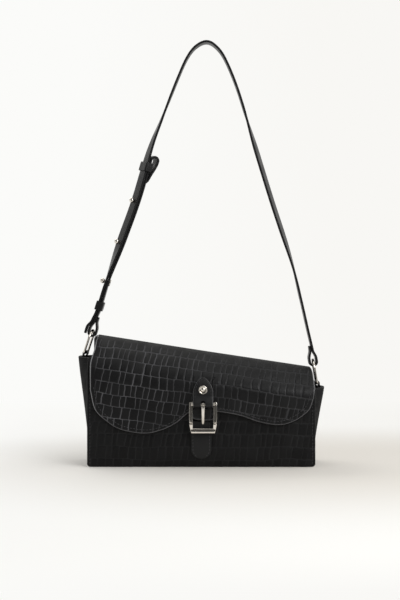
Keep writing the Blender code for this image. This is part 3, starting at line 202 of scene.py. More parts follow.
    # The fold itself is worn matt
    folded = add_node(tree, "ShaderNodeMapRange", {0: plain, 1: 0.006, 2: 0.026, 3: 0.34, 4: 0.0})[0]
    gloss = add_node(tree, "ShaderNodeMath", {0: gloss, 1: folded}, operation="ADD")[0]
    dome = add_node(
        tree,
        "ShaderNodeMapRange",
        {0: to_groove, 1: 0.0, 2: 0.0020, 3: 0.0, 4: 1.0},
        interpolation_type="SMOOTHERSTEP",
    )[0]
    dome = add_node(tree, "ShaderNodeMix", {0: pressed, 2: 1.0, 3: dome}, data_type="FLOAT")[0]
    grain = add_node(
        tree, "ShaderNodeTexNoise", {"Vector": spot, "Scale": 1500.0, "Detail": 2.0}, noise_dimensions="2D"
    )[0]
    height = add_node(tree, "ShaderNodeMath", {0: grain, 1: 0.10, 2: dome}, operation="MULTIPLY_ADD")[0]
    relief = add_node(
        tree, "ShaderNodeBump", {"Strength": 0.75, "Distance": 0.00035, "Height": height}
    )[0]
    set_sockets(tree, shader, {"Base Color": colour, "Roughness": gloss, "Normal": relief})
    set_sockets(tree, shader, {"IOR": 1.42, "Specular IOR Level": level})
    return made


def edge_paint(name, darkest, lightest, dull=0.0, left_highlight=1.0):
    """Acrylic edge paint over the cut leather: smooth and a little glossy, in a thin round coat
    that shows slow ripples. On the flap and the tongue it is grey, partly worn and partly a painted
    highlight along the rim; elsewhere it is black."""
    made, tree, shader = new_finish(name)
    spot = add_node(tree, "ShaderNodeTexCoord")[3]
    ripple = add_node(tree, "ShaderNodeTexNoise", {"Vector": spot, "Scale": 420.0, "Detail": 2.0})[0]
    colour = add_node(
        tree, "ShaderNodeMix", {0: ripple, 6: linear(darkest), 7: linear(lightest)}, data_type="RGBA"
    )[2]
    # Painted highlight: the paint is lighter still at the flap's left end, standing in for light falling
    # on its rim from the left
    left_highlight_gain = add_node(tree, "ShaderNodeSeparateXYZ", {0: spot})[0]
    left_highlight_gain = add_node(tree, "ShaderNodeMapRange", {0: left_highlight_gain, 1: -0.122, 2: -0.132, 3: 1.0, 4: left_highlight})[0]
    colour = add_node(tree, "ShaderNodeVectorMath", {0: colour, "Scale": left_highlight_gain}, operation="SCALE")[0]
    relief = add_node(tree, "ShaderNodeBump", {"Strength": 0.25, "Distance": 0.0002, "Height": ripple})[0]
    set_sockets(tree, shader, {"Base Color": colour, "Roughness": 0.36 + dull, "Normal": relief})
    set_sockets(tree, shader, {"Specular IOR Level": 0.35 - dull})
    return made


def suede_backing():
    """The flesh side of split leather, buffed to a short black nap: matt, with lighter strokes."""
    made, tree, shader = new_finish("suede_split_backing")
    spot = add_node(tree, "ShaderNodeTexCoord")[3]
    nap = add_node(tree, "ShaderNodeTexNoise", {"Vector": spot, "Scale": 900.0, "Detail": 4.0})[0]
    stroke = add_node(tree, "ShaderNodeTexNoise", {"Vector": spot, "Scale": 35.0, "Detail": 3.0})[0]
    share = add_node(tree, "ShaderNodeMath", {0: nap, 1: 0.5, 2: stroke}, operation="MULTIPLY_ADD")[0]
    share = add_node(tree, "ShaderNodeMapRange", {0: share, 1: 0.45, 2: 1.05})[0]
    colour = add_node(
        tree, "ShaderNodeMix", {0: share, 6: linear("151516"), 7: linear("2c2b2c")}, data_type="RGBA"
    )[2]
    relief = add_node(tree, "ShaderNodeBump", {"Strength": 0.6, "Distance": 0.0003, "Height": nap})[0]
    set_sockets(tree, shader, {"Base Color": colour, "Roughness": 0.92, "Normal": relief})
    set_sockets(tree, shader, {"Sheen Weight": 0.15})
    return made


croc_body = croc_calf("croc_embossed_calf_body", "323233")
paint = edge_paint("black_edge_paint", "0b0b0c", "1a1a1b", 0.18)
suede = suede_backing()


def run(start, end, share):
    return start + (end - start) * share


def end_to_end(left, right, x):
    """A size that runs evenly from the left end of the body to the right end."""
    return run(left, right, x / BODY_WIDTH + 0.5)


def back_height(x):
    return end_to_end(BACK_LEFT, BACK_RIGHT, x)


def bend_height(x):
    """Height at which the upright front starts to lean back."""
    return back_height(x) - end_to_end(ARCH_LEFT, ARCH_RIGHT, x)


def front_y(x, z, depth):
    """Y of the surface that lies this deep under the flap's outer face."""
    reach = CROWN_Y + FLAP_FRONT - depth
    rise = end_to_end(ARCH_LEFT, ARCH_RIGHT, x) - depth
    share = min(max((z - bend_height(x)) / rise, 0), 1)
    return CROWN_Y - reach * math.sqrt(1 - share * share)


def body_half_width(z):
    below = min(max((BASE_ROUND - z) / BASE_ROUND, 0), 1)
    return BODY_WIDTH / 2 - CORNER_ROUND * (1 - math.sqrt(1 - below * below))


def body_front(x, z):
    """Y of the front hide's outer face, which stands a little full below the flap."""
    if z < FULLEST_HEIGHT:
        full = math.sin(math.pi / 2 * max((z - BASE_ROUND) / (FULLEST_HEIGHT - BASE_ROUND), 0))
    else:
        full = math.cos(math.pi / 2 * min((z - FULLEST_HEIGHT) / FULLNESS_REACH, 1)) ** 2
    full *= math.cos(math.pi * min(abs(x) / BODY_WIDTH, 0.5))
    return front_y(x, z, FLAP_FRONT - HALF_DEPTH) - FRONT_FULLNESS * full


def leather_sheet(name, rows, layout, thickness, outward, finishes, rounds=4):
    """A sheet of leather from the places on its outer face, with an inner face a thickness below
    it and a round painted edge. The layout is each place's spot on the flat hide."""
    tall, wide = len(rows), len(rows[0])

    def at(i, j):
        return rows[min(max(i, 0), tall - 1)][min(max(j, 0), wide - 1)]

    facing = []
    for i in range(tall):
        line = []
        for j in range(wide):
            across = at(i, j + 1) - at(i, j - 1)
            line.append((at(i + 1, j) - at(i - 1, j)).cross(across).normalized())
        facing.append(line)
    turn = -1 if facing[tall // 2][wide // 2].dot(outward) < 0 else 1
    border = [(0, j) for j in range(wide)] + [(i, wide - 1) for i in range(1, tall)]
    border += [(tall - 1, j) for j in range(wide - 2, -1, -1)]
    border += [(i, 0) for i in range(tall - 2, 0, -1)]
    points, spots, faces, kinds = [], [], [], []
    for side in (0, 1):
        for i in range(tall):
            for j in range(wide):
                deep = thickness(i, j) if callable(thickness) else thickness
                points.append(rows[i][j] - facing[i][j] * (turn * deep * side))
                spots.append(layout[i][j])
    start = tall * wide
    for side, kind in ((0, 0), (start, 2)):
        for i in range(tall - 1):
            for j in range(wide - 1):
                k = side + i * wide + j
                faces.append((k, k + 1, k + wide + 1, k + wide))
                kinds.append(kind)
    loops = [[i * wide + j for i, j in border]]
    for step in range(1, rounds):
        loop = []
        angle = math.pi * step / rounds
        for k, (i, j) in enumerate(border):
            away = Vector((0, 0, 0))
            if i in (0, tall - 1):
                away += (rows[i][j] - at(i + (1 if i == 0 else -1), j)).normalized()
            if j in (0, wide - 1):
                away += (rows[i][j] - at(i, j + (1 if j == 0 else -1))).normalized()
            # The coat stands square to the cut, also where the cut runs aslant to the rows
            before, after = border[k - 1], border[(k + 1) % len(border)]
            along = (rows[after[0]][after[1]] - rows[before[0]][before[1]]).normalized()
            away -= along * (away.dot(along) * 0.97)
            normal = facing[i][j] * turn
            away = (away - normal * away.dot(normal)).normalized()
            half = (thickness(i, j) if callable(thickness) else thickness) / 2
            spot = rows[i][j] - normal * (half * (1 - math.cos(angle)))
            loop.append(len(points))
            points.append(spot + away * (half * math.sin(angle)))
            spots.append(layout[i][j])
        loops.append(loop)
    loops.append([start + i * wide + j for i, j in border])
    for here, there in zip(loops, loops[1:]):
        for k in range(len(border)):
            after = (k + 1) % len(border)
            faces.append((here[k], here[after], there[after], there[k]))
            kinds.append(1)
    return soft_mesh(name, points, faces, kinds, spots, finishes)


def place_in_scene(name, data):
    """A new object of this name in the scene, with its data."""
    made = bpy.data.objects.new(name, data)
    bpy.context.scene.collection.objects.link(made)
    return made


def soft_mesh(name, points, faces, kinds, spots, finishes):
    """A closed mesh with its finishes and its spots on the flat hide as a UV map."""
    mesh = bpy.data.meshes.new(name)
    mesh.from_pydata([tuple(p) for p in points], [], faces)
    for finish in finishes:
        mesh.materials.append(finish)
    layer = mesh.uv_layers.new(name="hide")
    for polygon, kind in zip(mesh.polygons, kinds):
        polygon.material_index = kind
        for loop in polygon.loop_indices:
            layer.data[loop].uv = spots[mesh.loops[loop].vertex_index]
    work = bmesh.new()
    work.from_mesh(mesh)
    bmesh.ops.recalc_face_normals(work, faces=work.faces)
    work.to_mesh(mesh)
    work.free()
    mesh.shade_smooth()
    return place_in_scene(name, mesh)


def fit(made, body, slot, *nodes):
    """Rides the piece on its body and hides the plain solids it stands for. The slot is not used."""
    if body:
        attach(made, body)
    if nodes:
        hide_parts(*nodes)


def shares(count, tight=0.004):
    """Even shares from 0 to 1 with one more close to each end, which keeps a round edge crisp."""
    return [0, tight] + [i / count for i in range(1, count)] + [1 - tight, 1]


def front_hide():
    rows, layout = [], []
    for share in shares(64):
        x_share = 2 * share - 1
        x_edge = x_share * BODY_WIDTH / 2
        bend = bend_height(x_edge)
        mouth = end_to_end(MOUTH_LEFT, MOUTH_RIGHT, x_edge)
        heights = [run(mouth, bend, i / 8) for i in range(8)]
        heights += [run(bend, BASE_ROUND, i / 30) for i in range(30)]
        row = []
        for z in heights:
            x = x_share * (body_half_width(z) - HIDE_THICK / 2)
            row.append(Vector((x, body_front(x_edge, z), z)))
        for i in range(11):
            angle = math.pi / 2 * i / 10
            z = BASE_ROUND * (1 - math.sin(angle))
            y = -HALF_DEPTH + BASE_ROUND * (1 - math.cos(angle))
            x = x_share * (body_half_width(z) - HIDE_THICK / 2)
            row.append(Vector((x, y, z)))
        for i in range(1, 11):
            y = run(-HALF_DEPTH + BASE_ROUND, BASE_SEAM_Y - HIDE_THICK / 2, i / 10)
            row.append(Vector((x_share * (body_half_width(0) - HIDE_THICK / 2), y, 0)))
        # The front is cut from another place of the hide than the flap
        line, length = [], 0.9 - heights[0]
        for k, place in enumerate(row):
            if k:
                length += (place - row[k - 1]).length
            line.append((place.x + 0.53, length))
        rows.append(row)
        layout.append(line)
    finishes = (croc_body, paint, suede)
    return leather_sheet("front_hide", rows, layout, HIDE_THICK, Vector((0, -1, 0)), finishes)


fit(front_hide(), "bag", "croc_leather", "front_panel")


# Back and flap hide
# The same calf as one long piece: sewn under the base, up the back, rolled over the ridge and
# folded down over the front as the lobed flap.

FOLD_Y = -0.0105
REAR_ROUND = 0.0115
REAR_DROP = 0.010
BACK_INSET = 0.002
TOP_HALF_WIDTH = 0.1327
TOP_HALF_RIGHT = 0.1375
SKIRT_HALF_WIDTH = 0.1380
FLAP_SHIFT = 0.0016
FLAP_THICK = 0.0033
RIM_THICK = 0.0023
FLAP_HUG = 0.0028
EDGE_STEP = 0.0034
EDGE_BLEND = 0.016
# The rows of tiles are spaced partly along the arch and partly straight down it
ROW_PHASE = 0.0061
ROW_ALONG = 0.3
ROW_DOWN = 0.75

# The lobed edge from its left side to its right: shares of half its width and of the height of
# the bend at that place
FLAP_EDGE = (
    (-0.998, 0.890),
    (-0.990, 0.832),
    (-0.955, 0.664),
    (-0.866, 0.551),
    (-0.733, 0.452),
    (-0.529, 0.414),
    (-0.378, 0.458),
    (-0.245, 0.551),
    (-0.138, 0.684),
    (-0.096, 0.712),
    (-0.080, 0.700),
    (-0.078, 0.620),
    (0.084, 0.620),
    (0.086, 0.720),
    (0.102, 0.735),
    (0.137, 0.733),
    (0.333, 0.698),
    (0.510, 0.622),
    (0.688, 0.595),
    (0.820, 0.662),
    (0.909, 0.764),
    (0.948, 0.830),
    (0.974, 0.928),
    (0.989, 1.030),
    (0.995, 1.130),
)

# Painted light: the flap's copy has lighter tiles and grooves than the front's, standing in for the sheen
# and light on the flap
croc_flap = croc_calf("croc_embossed_calf_flap", "545457", ("0e0e0f", "181819"))
# Grey paint for the flap's and the tongue's edges: partly wear, partly a painted highlight along their
# rims
worn_and_lit_paint = edge_paint("worn_and_lit_edge_paint", "38383a", "5a5a5c", left_highlight=2.6)


def arch_z(x, y, depth):
    """Height of the surface that lies this deep under the flap's outer face."""
    reach = CROWN_Y + FLAP_FRONT - depth
    rise = end_to_end(ARCH_LEFT, ARCH_RIGHT, x) - depth
    share = min(max((CROWN_Y - y) / reach, 0), 1)
    return bend_height(x) + rise * math.sqrt(1 - share * share)


def curve_through(points, first, last, step):
    """A smooth curve through the points, with places about a step apart."""
    found = []
    padded = [first, *points, last]
    for i in range(1, len(padded) - 2):
        before, start, end, after = padded[i - 1 : i + 3]
        count = max(1, round((end - start).length / step))
        for k in range(count):
            t = k / count
            place = 2 * start + (end - before) * t
            place += (2 * before - 5 * start + 4 * end - after) * t**2
            place += (3 * start - before - 3 * end + after) * t**3
            found.append(place * 0.5)
    found.append(points[-1].copy())
    return found


def flap_edge(inset, step):
    corners = []
    for x_share, z_share in FLAP_EDGE:
        x = FLAP_SHIFT + x_share * (SKIRT_HALF_WIDTH - inset)
        corners.append(Vector((x, 0, z_share * bend_height(x) + inset)))
    return curve_through(corners, corners[0], corners[-1], step)


def smooth(share):
    return 0.5 - 0.5 * math.cos(math.pi * min(max(share, 0), 1))


def flap_y(x, z):
    """Y of the flap's outer face, whose ends hug the body more than its middle."""
    fold_z = arch_z(x, FOLD_Y, 0)
    hang = smooth((fold_z - z) / (fold_z - bend_height(x)))
    hug = FLAP_HUG * ((x - FLAP_SHIFT) / SKIRT_HALF_WIDTH) ** 2 * hang
    return front_y(x, z, 0) + hug


def down_the_arch(x, z):
    """Where the rows of tiles lie, from the ridge down to this height on the flap. The rows
    lengthen where the hide turns over the top."""
    reach = CROWN_Y + FLAP_FRONT
    rise = end_to_end(ARCH_LEFT, ARCH_RIGHT, x)
    bend = bend_height(x)
    top = min(max((z - bend) / rise, 0), 1)
    last = math.acos(top)
    length = 0
    before = (0.0, rise)
    for k in range(1, 17):
        angle = last * k / 16
        here = (reach * math.sin(angle), rise * math.cos(angle))
        length += math.dist(before, here)
        before = here
    length += max(bend - z, 0)
    return ROW_ALONG * length + ROW_DOWN * (back_height(x) - z) - ROW_PHASE


def top_edge_x(x_share, y):
    """The hide is narrower where it passes between the rings than on the upright back."""
    share = smooth((HALF_DEPTH - y) / (HALF_DEPTH - CROWN_Y))
    top = TOP_HALF_WIDTH if x_share < 0 else TOP_HALF_RIGHT
    half = run(BODY_WIDTH / 2 - BACK_INSET - HIDE_THICK / 2, top - HIDE_THICK / 2, share)
    return FLAP_SHIFT * share + x_share * half


def back_and_flap():
    edge = flap_edge(RIM_THICK / 2, EDGE_STEP)
    flap_shares = [1 - share for share in shares(58, 0.006)[:-2]]
    columns, layout = [], []
    flap_rows = len(flap_shares)
    for j, tip in enumerate(edge):
        x_share = 2 * j / (len(edge) - 1) - 1
        x_top = top_edge_x(x_share, FOLD_Y)
        z_top = arch_z(x_top, FOLD_Y, 0)
        column, line = [], []
        for share in flap_shares:
            z = run(z_top, tip.z, share)
            x = run(x_top, tip.x, smooth(share / 0.5))
            column.append(Vector((x, flap_y(x, z), z)))
            line.append((x, down_the_arch(x, z)))
        x_edge = x_share * BODY_WIDTH / 2
        high = back_height(x_edge)
        for i in range(15):
            y = run(FOLD_Y, CROWN_Y, i / 15)
            x = top_edge_x(x_share, y)
            column.append(Vector((x, y, arch_z(run(x, x_edge, i / 15), y, 0))))
            below = high - column[-1].z
            line.append((x, ROW_ALONG * (CROWN_Y - y) + ROW_DOWN * below - ROW_PHASE))
        for i in range(9):
            angle = math.pi / 2 * i / 9
            y = CROWN_Y + REAR_ROUND * math.sin(angle)
            z = high - REAR_DROP * (1 - math.cos(angle))
            column.append(Vector((top_edge_x(x_share, y), y, z)))
            line.append(None)
        for i in range(40):
            z = run(high - REAR_DROP, BASE_ROUND, i / 40)
            half = body_half_width(z) - BACK_INSET - HIDE_THICK / 2
            column.append(Vector((x_share * half, HALF_DEPTH, z)))
            line.append(None)
        for i in range(10):
            angle = math.pi / 2 * i / 9
            z = BASE_ROUND * (1 - math.sin(angle))
            y = HALF_DEPTH - BASE_ROUND * (1 - math.cos(angle))
            half = body_half_width(z) - BACK_INSET - HIDE_THICK / 2
            column.append(Vector((x_share * half, y, z)))
            line.append(None)
        y = BASE_SEAM_Y + HIDE_THICK / 2
        half = body_half_width(0) - BACK_INSET - HIDE_THICK / 2
        column.append(Vector((x_share * half, y, 0)))
        line.append(None)
        for k, spot in enumerate(line):
            if spot is None:
                line[k] = (column[k].x, line[k - 1][1] - (column[k] - column[k - 1]).length)
        columns.append(column)
        layout.append(line)

    def thickness(j, i):
        if i >= flap_rows:
            return run(FLAP_THICK, HIDE_THICK, smooth((i - flap_rows) / 12))
        from_rim = (columns[j][i] - columns[j][0]).length
        side = min(j, len(columns) - 1 - j) * EDGE_STEP
        inside = min(from_rim, max(side, 0.3 * from_rim))
        return run(RIM_THICK, FLAP_THICK, smooth(inside / EDGE_BLEND))

    finishes = (croc_flap, worn_and_lit_paint, suede)
    return leather_sheet("back_and_flap", columns, layout, thickness, Vector((0, -1, 1)), finishes)


hide = back_and_flap()
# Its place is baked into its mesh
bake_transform(hide)
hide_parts("back_panel", "flap", "flap_lining")


# Side gussets
# One croc-embossed panel at each end, glued and sewn between the front and the back. Each bows
# outwards to the mouth, where its cut edge is painted.

GUSSET_FLARE = 0.0165
GUSSET_INSET = 0.0015
SEAM_GAP = 0.0003


def gusset_span(x, z, inset):
    """Front and back Y of an end panel at this height, inside the leather's outer faces."""
    front = front_y(x, z, FLAP_FRONT - HALF_DEPTH + inset)
    back = HALF_DEPTH - inset
    below = BASE_ROUND - z
    if below > 0:
        inner_round = BASE_ROUND - inset
        drawn = inner_round - math.sqrt(max(inner_round * inner_round - below * below, 0))
        front += drawn
        back -= drawn
    return front, back


def gusset_flare(z, top):
    """How far an end panel bows out at mid depth."""
    bottom = HIDE_THICK + SEAM_GAP
    share = min(max((z - bottom) / (top - bottom), 0), 1)
    return GUSSET_FLARE * share**1.15


# The gussets' hide is softer, plated lightly with wide tiles and left matt
croc_gusset = croc_calf(
    "croc_embossed_calf_gusset", "3c3c3d", ("0b0b0c", "111112"), 0.30, 0.14, tile_width=0.026
)


def side_gusset(side, name):
    x_end = side * BODY_WIDTH / 2
    top = end_to_end(MOUTH_LEFT, MOUTH_RIGHT, x_end)
    inset = HIDE_THICK + SEAM_GAP
    heights = [run(inset, BASE_ROUND, k / 6) for k in range(6)]
    heights += [run(BASE_ROUND, top - HIDE_THICK / 2, k / 34) for k in range(34)]
    heights += [top - HIDE_THICK / 2 - 0.0006, top - HIDE_THICK / 2]
    rows, layout = [], []
    for z in heights:
        front, back = gusset_span(x_end, z, inset)
        row, line = [], []
        for k in range(31):
            share = k / 30
            y = run(front, back, share)
            bow = gusset_flare(z, top) * math.sin(math.pi * share)
            row.append(Vector((side * (body_half_width(z) - GUSSET_INSET + bow), y, z)))
            # Each panel has its own place on the hide
            line.append((2.1 + side * 0.5 + y, 1.312 - z))
        rows.append(row)
        layout.append(line)
    finishes = (croc_gusset, paint, suede)
    return leather_sheet(name, rows, layout, HIDE_THICK, Vector((side, 0, 0)), finishes)


fit(side_gusset(-1, "gusset_hide_left"), "bag", "croc_leather", "gusset_left")
fit(side_gusset(1, "gusset_hide_right"), "bag", "croc_leather", "gusset_right")


# Lining, stiffening board and inner pocket
# A black cotton twill bag hangs inside from the mouth, over a pressed board that keeps the base
# flat. A patch pocket is sewn to its back wall.

LINING_THICK = 0.0008
BOARD_THICK = 0.0020
TAB_LEATHER = 0.0015
LINING_BELOW_MOUTH = 0.0040
LINING_SLACK = 0.0015
LINING_OFF_WALL = 0.0007
LINING_WRINKLE = 0.0006
POCKET_LOW, POCKET_HIGH = 0.020, 0.085
POCKET_HALF = 0.065
POCKET_LIFT = 0.0022


def cotton_twill():
    """Black cotton twill: matt, with fine slanting ribs. The ribs are drawn 1.2 mm apart, about
    twice as coarse as the real ones, so that they show."""
    made, tree, shader = new_finish("black_cotton_twill")
    spot = add_node(tree, "ShaderNodeTexCoord")[3]
    turned = add_node(tree, "ShaderNodeMapping", {"Vector": spot, "Rotation": (0.7, 0.6, 0.8)})[0]
    ribs = add_node(
        tree, "ShaderNodeTexWave", {"Vector": turned, "Scale": 260.0, "Distortion": 1.2, "Detail": 2.0}
    )[1]
    fluff = add_node(tree, "ShaderNodeTexNoise", {"Vector": spot, "Scale": 300.0, "Detail": 4.0})[0]
    share = add_node(tree, "ShaderNodeMath", {0: ribs, 1: fluff}, operation="MULTIPLY")[0]
    colour = add_node(
        tree, "ShaderNodeMix", {0: share, 6: linear("17171a"), 7: linear("38383c")}, data_type="RGBA"
    )[2]
    relief = add_node(tree, "ShaderNodeBump", {"Strength": 0.5, "Distance": 0.0003, "Height": ribs})[0]
    set_sockets(tree, shader, {"Base Color": colour, "Roughness": 0.88, "Normal": relief})
    return made


def pressed_board():
    """Pressed fibre board: brown-grey, matt, with fibres and specks of pulp."""
    made, tree, shader = new_finish("pressed_fibre_board")
    spot = add_node(tree, "ShaderNodeTexCoord")[3]
    pulp = add_node(tree, "ShaderNodeTexNoise", {"Vector": spot, "Scale": 350.0, "Detail": 5.0})[0]
    colour = add_node(
        tree, "ShaderNodeMix", {0: pulp, 6: linear("6f6250"), 7: linear("a3937a")}, data_type="RGBA"
    )[2]
    set_sockets(tree, shader, {"Base Color": colour, "Roughness": 0.9})
    return made


twill = cotton_twill()
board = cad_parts["base_board"]
board.data.materials.clear()
board.data.materials.append(pressed_board())


def lining_end(z, top):
    """Bow of the lining's end wall, which leaves room for the ring tab."""
    return max(gusset_flare(z, top) - (2 * TAB_LEATHER + 2 * SEAM_GAP + HIDE_THICK), 0)


def pick(made):
    """Selects this piece alone, for Blender's tools to work on."""
    bpy.ops.object.select_all(action="DESELECT")
    made.select_set(True)
    bpy.context.view_layer.objects.active = made


def apply_modifier(made, kind, **settings):
    """Adds a modifier with its settings and makes what it does final."""
    modifier = made.modifiers.new(kind.lower(), kind)
    for name, value in settings.items():
        setattr(modifier, name, value)
    pick(made)
    bpy.ops.object.modifier_apply(modifier=modifier.name)


def lining_bag():
    inset = HIDE_THICK + SEAM_GAP
    floor = HIDE_THICK + SEAM_GAP + BOARD_THICK + SEAM_GAP
    end_x = BODY_WIDTH / 2 - GUSSET_INSET - HIDE_THICK - SEAM_GAP - LINING_SLACK
    long_steps, end_steps = 48, 14
    loop = [(2 * i / long_steps - 1, 0) for i in range(long_steps)]
    loop += [(1, i / end_steps) for i in range(end_steps)]
    loop += [(1 - 2 * i / long_steps, 1) for i in range(long_steps)]
    loop += [(-1, 1 - i / end_steps) for i in range(end_steps)]
    rows = []
    for level in range(19):
        row = []
        for x_share, share in loop:
            x = x_share * end_x
            top = end_to_end(MOUTH_LEFT, MOUTH_RIGHT, x) - LINING_BELOW_MOUTH
            z = run(top, floor + BASE_ROUND, level / 18)
            front, back = gusset_span(x, z, inset)
            slack = LINING_WRINKLE * noise.noise(Vector((x * 18, share * 2, z * 22)))
            slack *= smooth(level / 5)
            bow = 0
            if abs(x_share) == 1:
                bow = lining_end(z, top) * math.sin(math.pi * share)
            inward = run(1, -1, share) * (LINING_OFF_WALL + slack)
            y = run(front, back, share) + inward
            row.append(Vector((x + math.copysign(bow, x), y, z)))
        rows.append(row)
    for drop in (0.3, 0.6, 0.85, 1):
        row = []
        for x_share, share in loop:
            z = run(floor + BASE_ROUND, floor, drop)
            front, back = gusset_span(0, z, inset)
            x = x_share * (end_x - BODY_WIDTH / 2 + body_half_width(z))
            row.append(Vector((x, run(front, back, share), z)))
        rows.append(row)
    count = len(loop)
    points = [place for row in rows for place in row]
    faces = []
    for i in range(len(rows) - 1):
        for j in range(count):
            k = (j + 1) % count
            faces.append((i * count + j, i * count + k, (i + 1) * count + k, (i + 1) * count + j))
    start = (len(rows) - 1) * count
    grid = [[None] * (long_steps + 1) for _ in range(end_steps + 1)]
    for k in range(end_steps + 1):
        grid[k][long_steps] = start + long_steps + k
        grid[k][0] = start + (2 * long_steps + 2 * end_steps - k) % count
    for m in range(long_steps + 1):
        grid[0][m] = start + m
        grid[end_steps][m] = start + 2 * long_steps + end_steps - m
    for k in range(1, end_steps):
        for m in range(1, long_steps):
            grid[k][m] = len(points)
            left, right = points[grid[k][0]], points[grid[k][long_steps]]
            points.append(left.lerp(right, m / long_steps))
    for k in range(end_steps):
        for m in range(long_steps):
            faces.append((grid[k][m], grid[k + 1][m], grid[k + 1][m + 1], grid[k][m + 1]))
    spots = [(p.x, p.z) for p in points]
    made = soft_mesh("twill_lining", points, faces, [0] * len(faces), spots, (twill,))
    if made.data.polygons[0].normal.y > 0:
        made.data.flip_normals()
    apply_modifier(made, "SOLIDIFY", thickness=LINING_THICK, offset=-1)
    return made


fit(lining_bag(), "bag", "lining", "lining")


def patch_pocket():
    """A patch 130 mm wide with a turned hem, which stands a little off the wall in its middle."""
    back = HALF_DEPTH - HIDE_THICK - 3 * SEAM_GAP - 2 * LINING_THICK
    rows, layout = [], []
    for i in range(25):
        z = run(POCKET_LOW, POCKET_HIGH, i / 24)
        row = []
        for j in range(33):
            x = run(-POCKET_HALF, POCKET_HALF, j / 32)
            lift = math.sin(math.pi * j / 32) ** 0.7 * smooth(i / 20) * POCKET_LIFT
            row.append(Vector((x, back - lift, z)))
        rows.append(row)
        layout.append([(place.x, place.z) for place in row])
    finishes = (twill,) * 3
    return leather_sheet("patch_pocket", rows, layout, LINING_THICK, Vector((0, -1, 0)), finishes, 2)


fit(patch_pocket(), "bag", "lining", "inner_pocket")


# Stitching
# Bonded black polyester thread, one stitch every 4 mm, sunk a little into the leather. The same
# thread sews the flap's edge, the front's sides, the front strip and the tongue.

BUCKLE_X = 0.0022
BEHIND_BUCKLE = 0.0115
FLAP_SEAM_INSET = 0.0034
FRONT_SEAM_INSET = 0.0035


def bonded_thread():
    """Black bonded polyester thread: a twisted, slightly shiny cord."""
    made, tree, shader = new_finish("bonded_polyester_thread")
    spot = add_node(tree, "ShaderNodeTexCoord")[3]
    twist = add_node(tree, "ShaderNodeTexWave", {"Vector": spot, "Scale": 700.0, "Distortion": 0.6})[1]
    colour = add_node(
        tree, "ShaderNodeMix", {0: twist, 6: linear("19191a"), 7: linear("38383b")}, data_type="RGBA"
    )[2]
    set_sockets(tree, shader, {"Base Color": colour, "Roughness": 0.45})
    return made


thread = bonded_thread()


def stitch_row(name, line, body, slot="smooth_leather"):
    """Stitches along a line of (place, direction out of the leather), as one piece."""
    pitch, length, radius = 0.0040, 0.0031, 0.00030
    points, faces = [], []
    gone, due = 0.0, pitch / 2
    for (start, out), (end, _) in zip(line, line[1:]):
        span = (end - start).length
        while due <= gone + span and span:
            along = (end - start).normalized()
            side = along.cross(out).normalized()
            place = start.lerp(end, (due - gone) / span)
            first = len(points)
            for step, share in ((-0.5, 0), (-0.38, 0.75), (0, 1), (0.38, 0.75), (0.5, 0)):
                lean = side * (0.0003 * step)
                centre = place + along * (length * step) + lean - out * (radius * (0.5 - 0.6 * share))
                if share == 0:
                    points.append(centre)
                    continue
                for k in range(6):
                    angle = math.tau * k / 6
                    spread = side * math.cos(angle) + out * (0.75 * math.sin(angle))
                    points.append(centre + spread * (radius * share))
            for k in range(6):
                after = (k + 1) % 6
                faces.append((first, first + 1 + after, first + 1 + k))
                for ring in (1, 7):
                    a, b = first + ring + k, first + ring + after
                    faces.append((a, b, b + 6, a + 6))
                faces.append((first + 13 + k, first + 13 + after, first + 19))
            due += pitch
        gone += span
    made = soft_mesh(name, points, faces, [0] * len(faces), [(0, 0)] * len(points), (thread,))
    fit(made, body, slot)


def flap_seam():
    """The line just inside the flap's edge, without the part behind the buckle."""
    found = []
    for tip in flap_edge(FLAP_SEAM_INSET + RIM_THICK / 2, 0.002):
        if abs(tip.x - BUCKLE_X) < BEHIND_BUCKLE:
            continue
        here = Vector((tip.x, flap_y(tip.x, tip.z), tip.z))
        up = Vector((tip.x, flap_y(tip.x, tip.z + 0.001), tip.z + 0.001))
        out = (up - here).cross(Vector((1, 0, 0))).normalized()
        if out.y > 0:
            out = -out
        found.append((here, out))
    return found


seam = flap_seam()
# The two halves of the seam part where the step behind the buckle is
split = next(k for k in range(len(seam) - 1) if (seam[k + 1][0] - seam[k][0]).length > 0.012)
stitch_row("flap_stitches_left", seam[: split + 1], "flap", "croc_leather")
stitch_row("flap_stitches_right", seam[split + 1 :], "flap", "croc_leather")
for side, title in ((-1, "left"), (1, "right")):
    line = []
    mouth = end_to_end(MOUTH_LEFT, MOUTH_RIGHT, side * BODY_WIDTH / 2)
    for k in range(60):
        z = run(BASE_ROUND * 0.8, mouth - 0.003, k / 59)
        x = side * (body_half_width(z) - FRONT_SEAM_INSET)
        here = Vector((x, body_front(x, z), z))
        depth = FLAP_FRONT - HALF_DEPTH
        lean = front_y(x, z + 0.001, depth) - front_y(x, z, depth)
        line.append((here, Vector((0, -0.001, lean)).normalized()))
    stitch_row(f"front_stitches_{title}", line, "bag", "croc_leather")


# Lower buckle strap on the front
# A short strip of smooth calf with a blunt tip, sewn flat to the front under the buckle. Its upper
# end ends free behind the buckle.

STRIP_WIDTH = 0.0255
STRIP_THICK = 0.0020
STRIP_LOW, STRIP_HIGH = 0.0110, 0.0573
STRIP_TIP = 0.0115
STRIP_SEAM_INSET = 0.0026


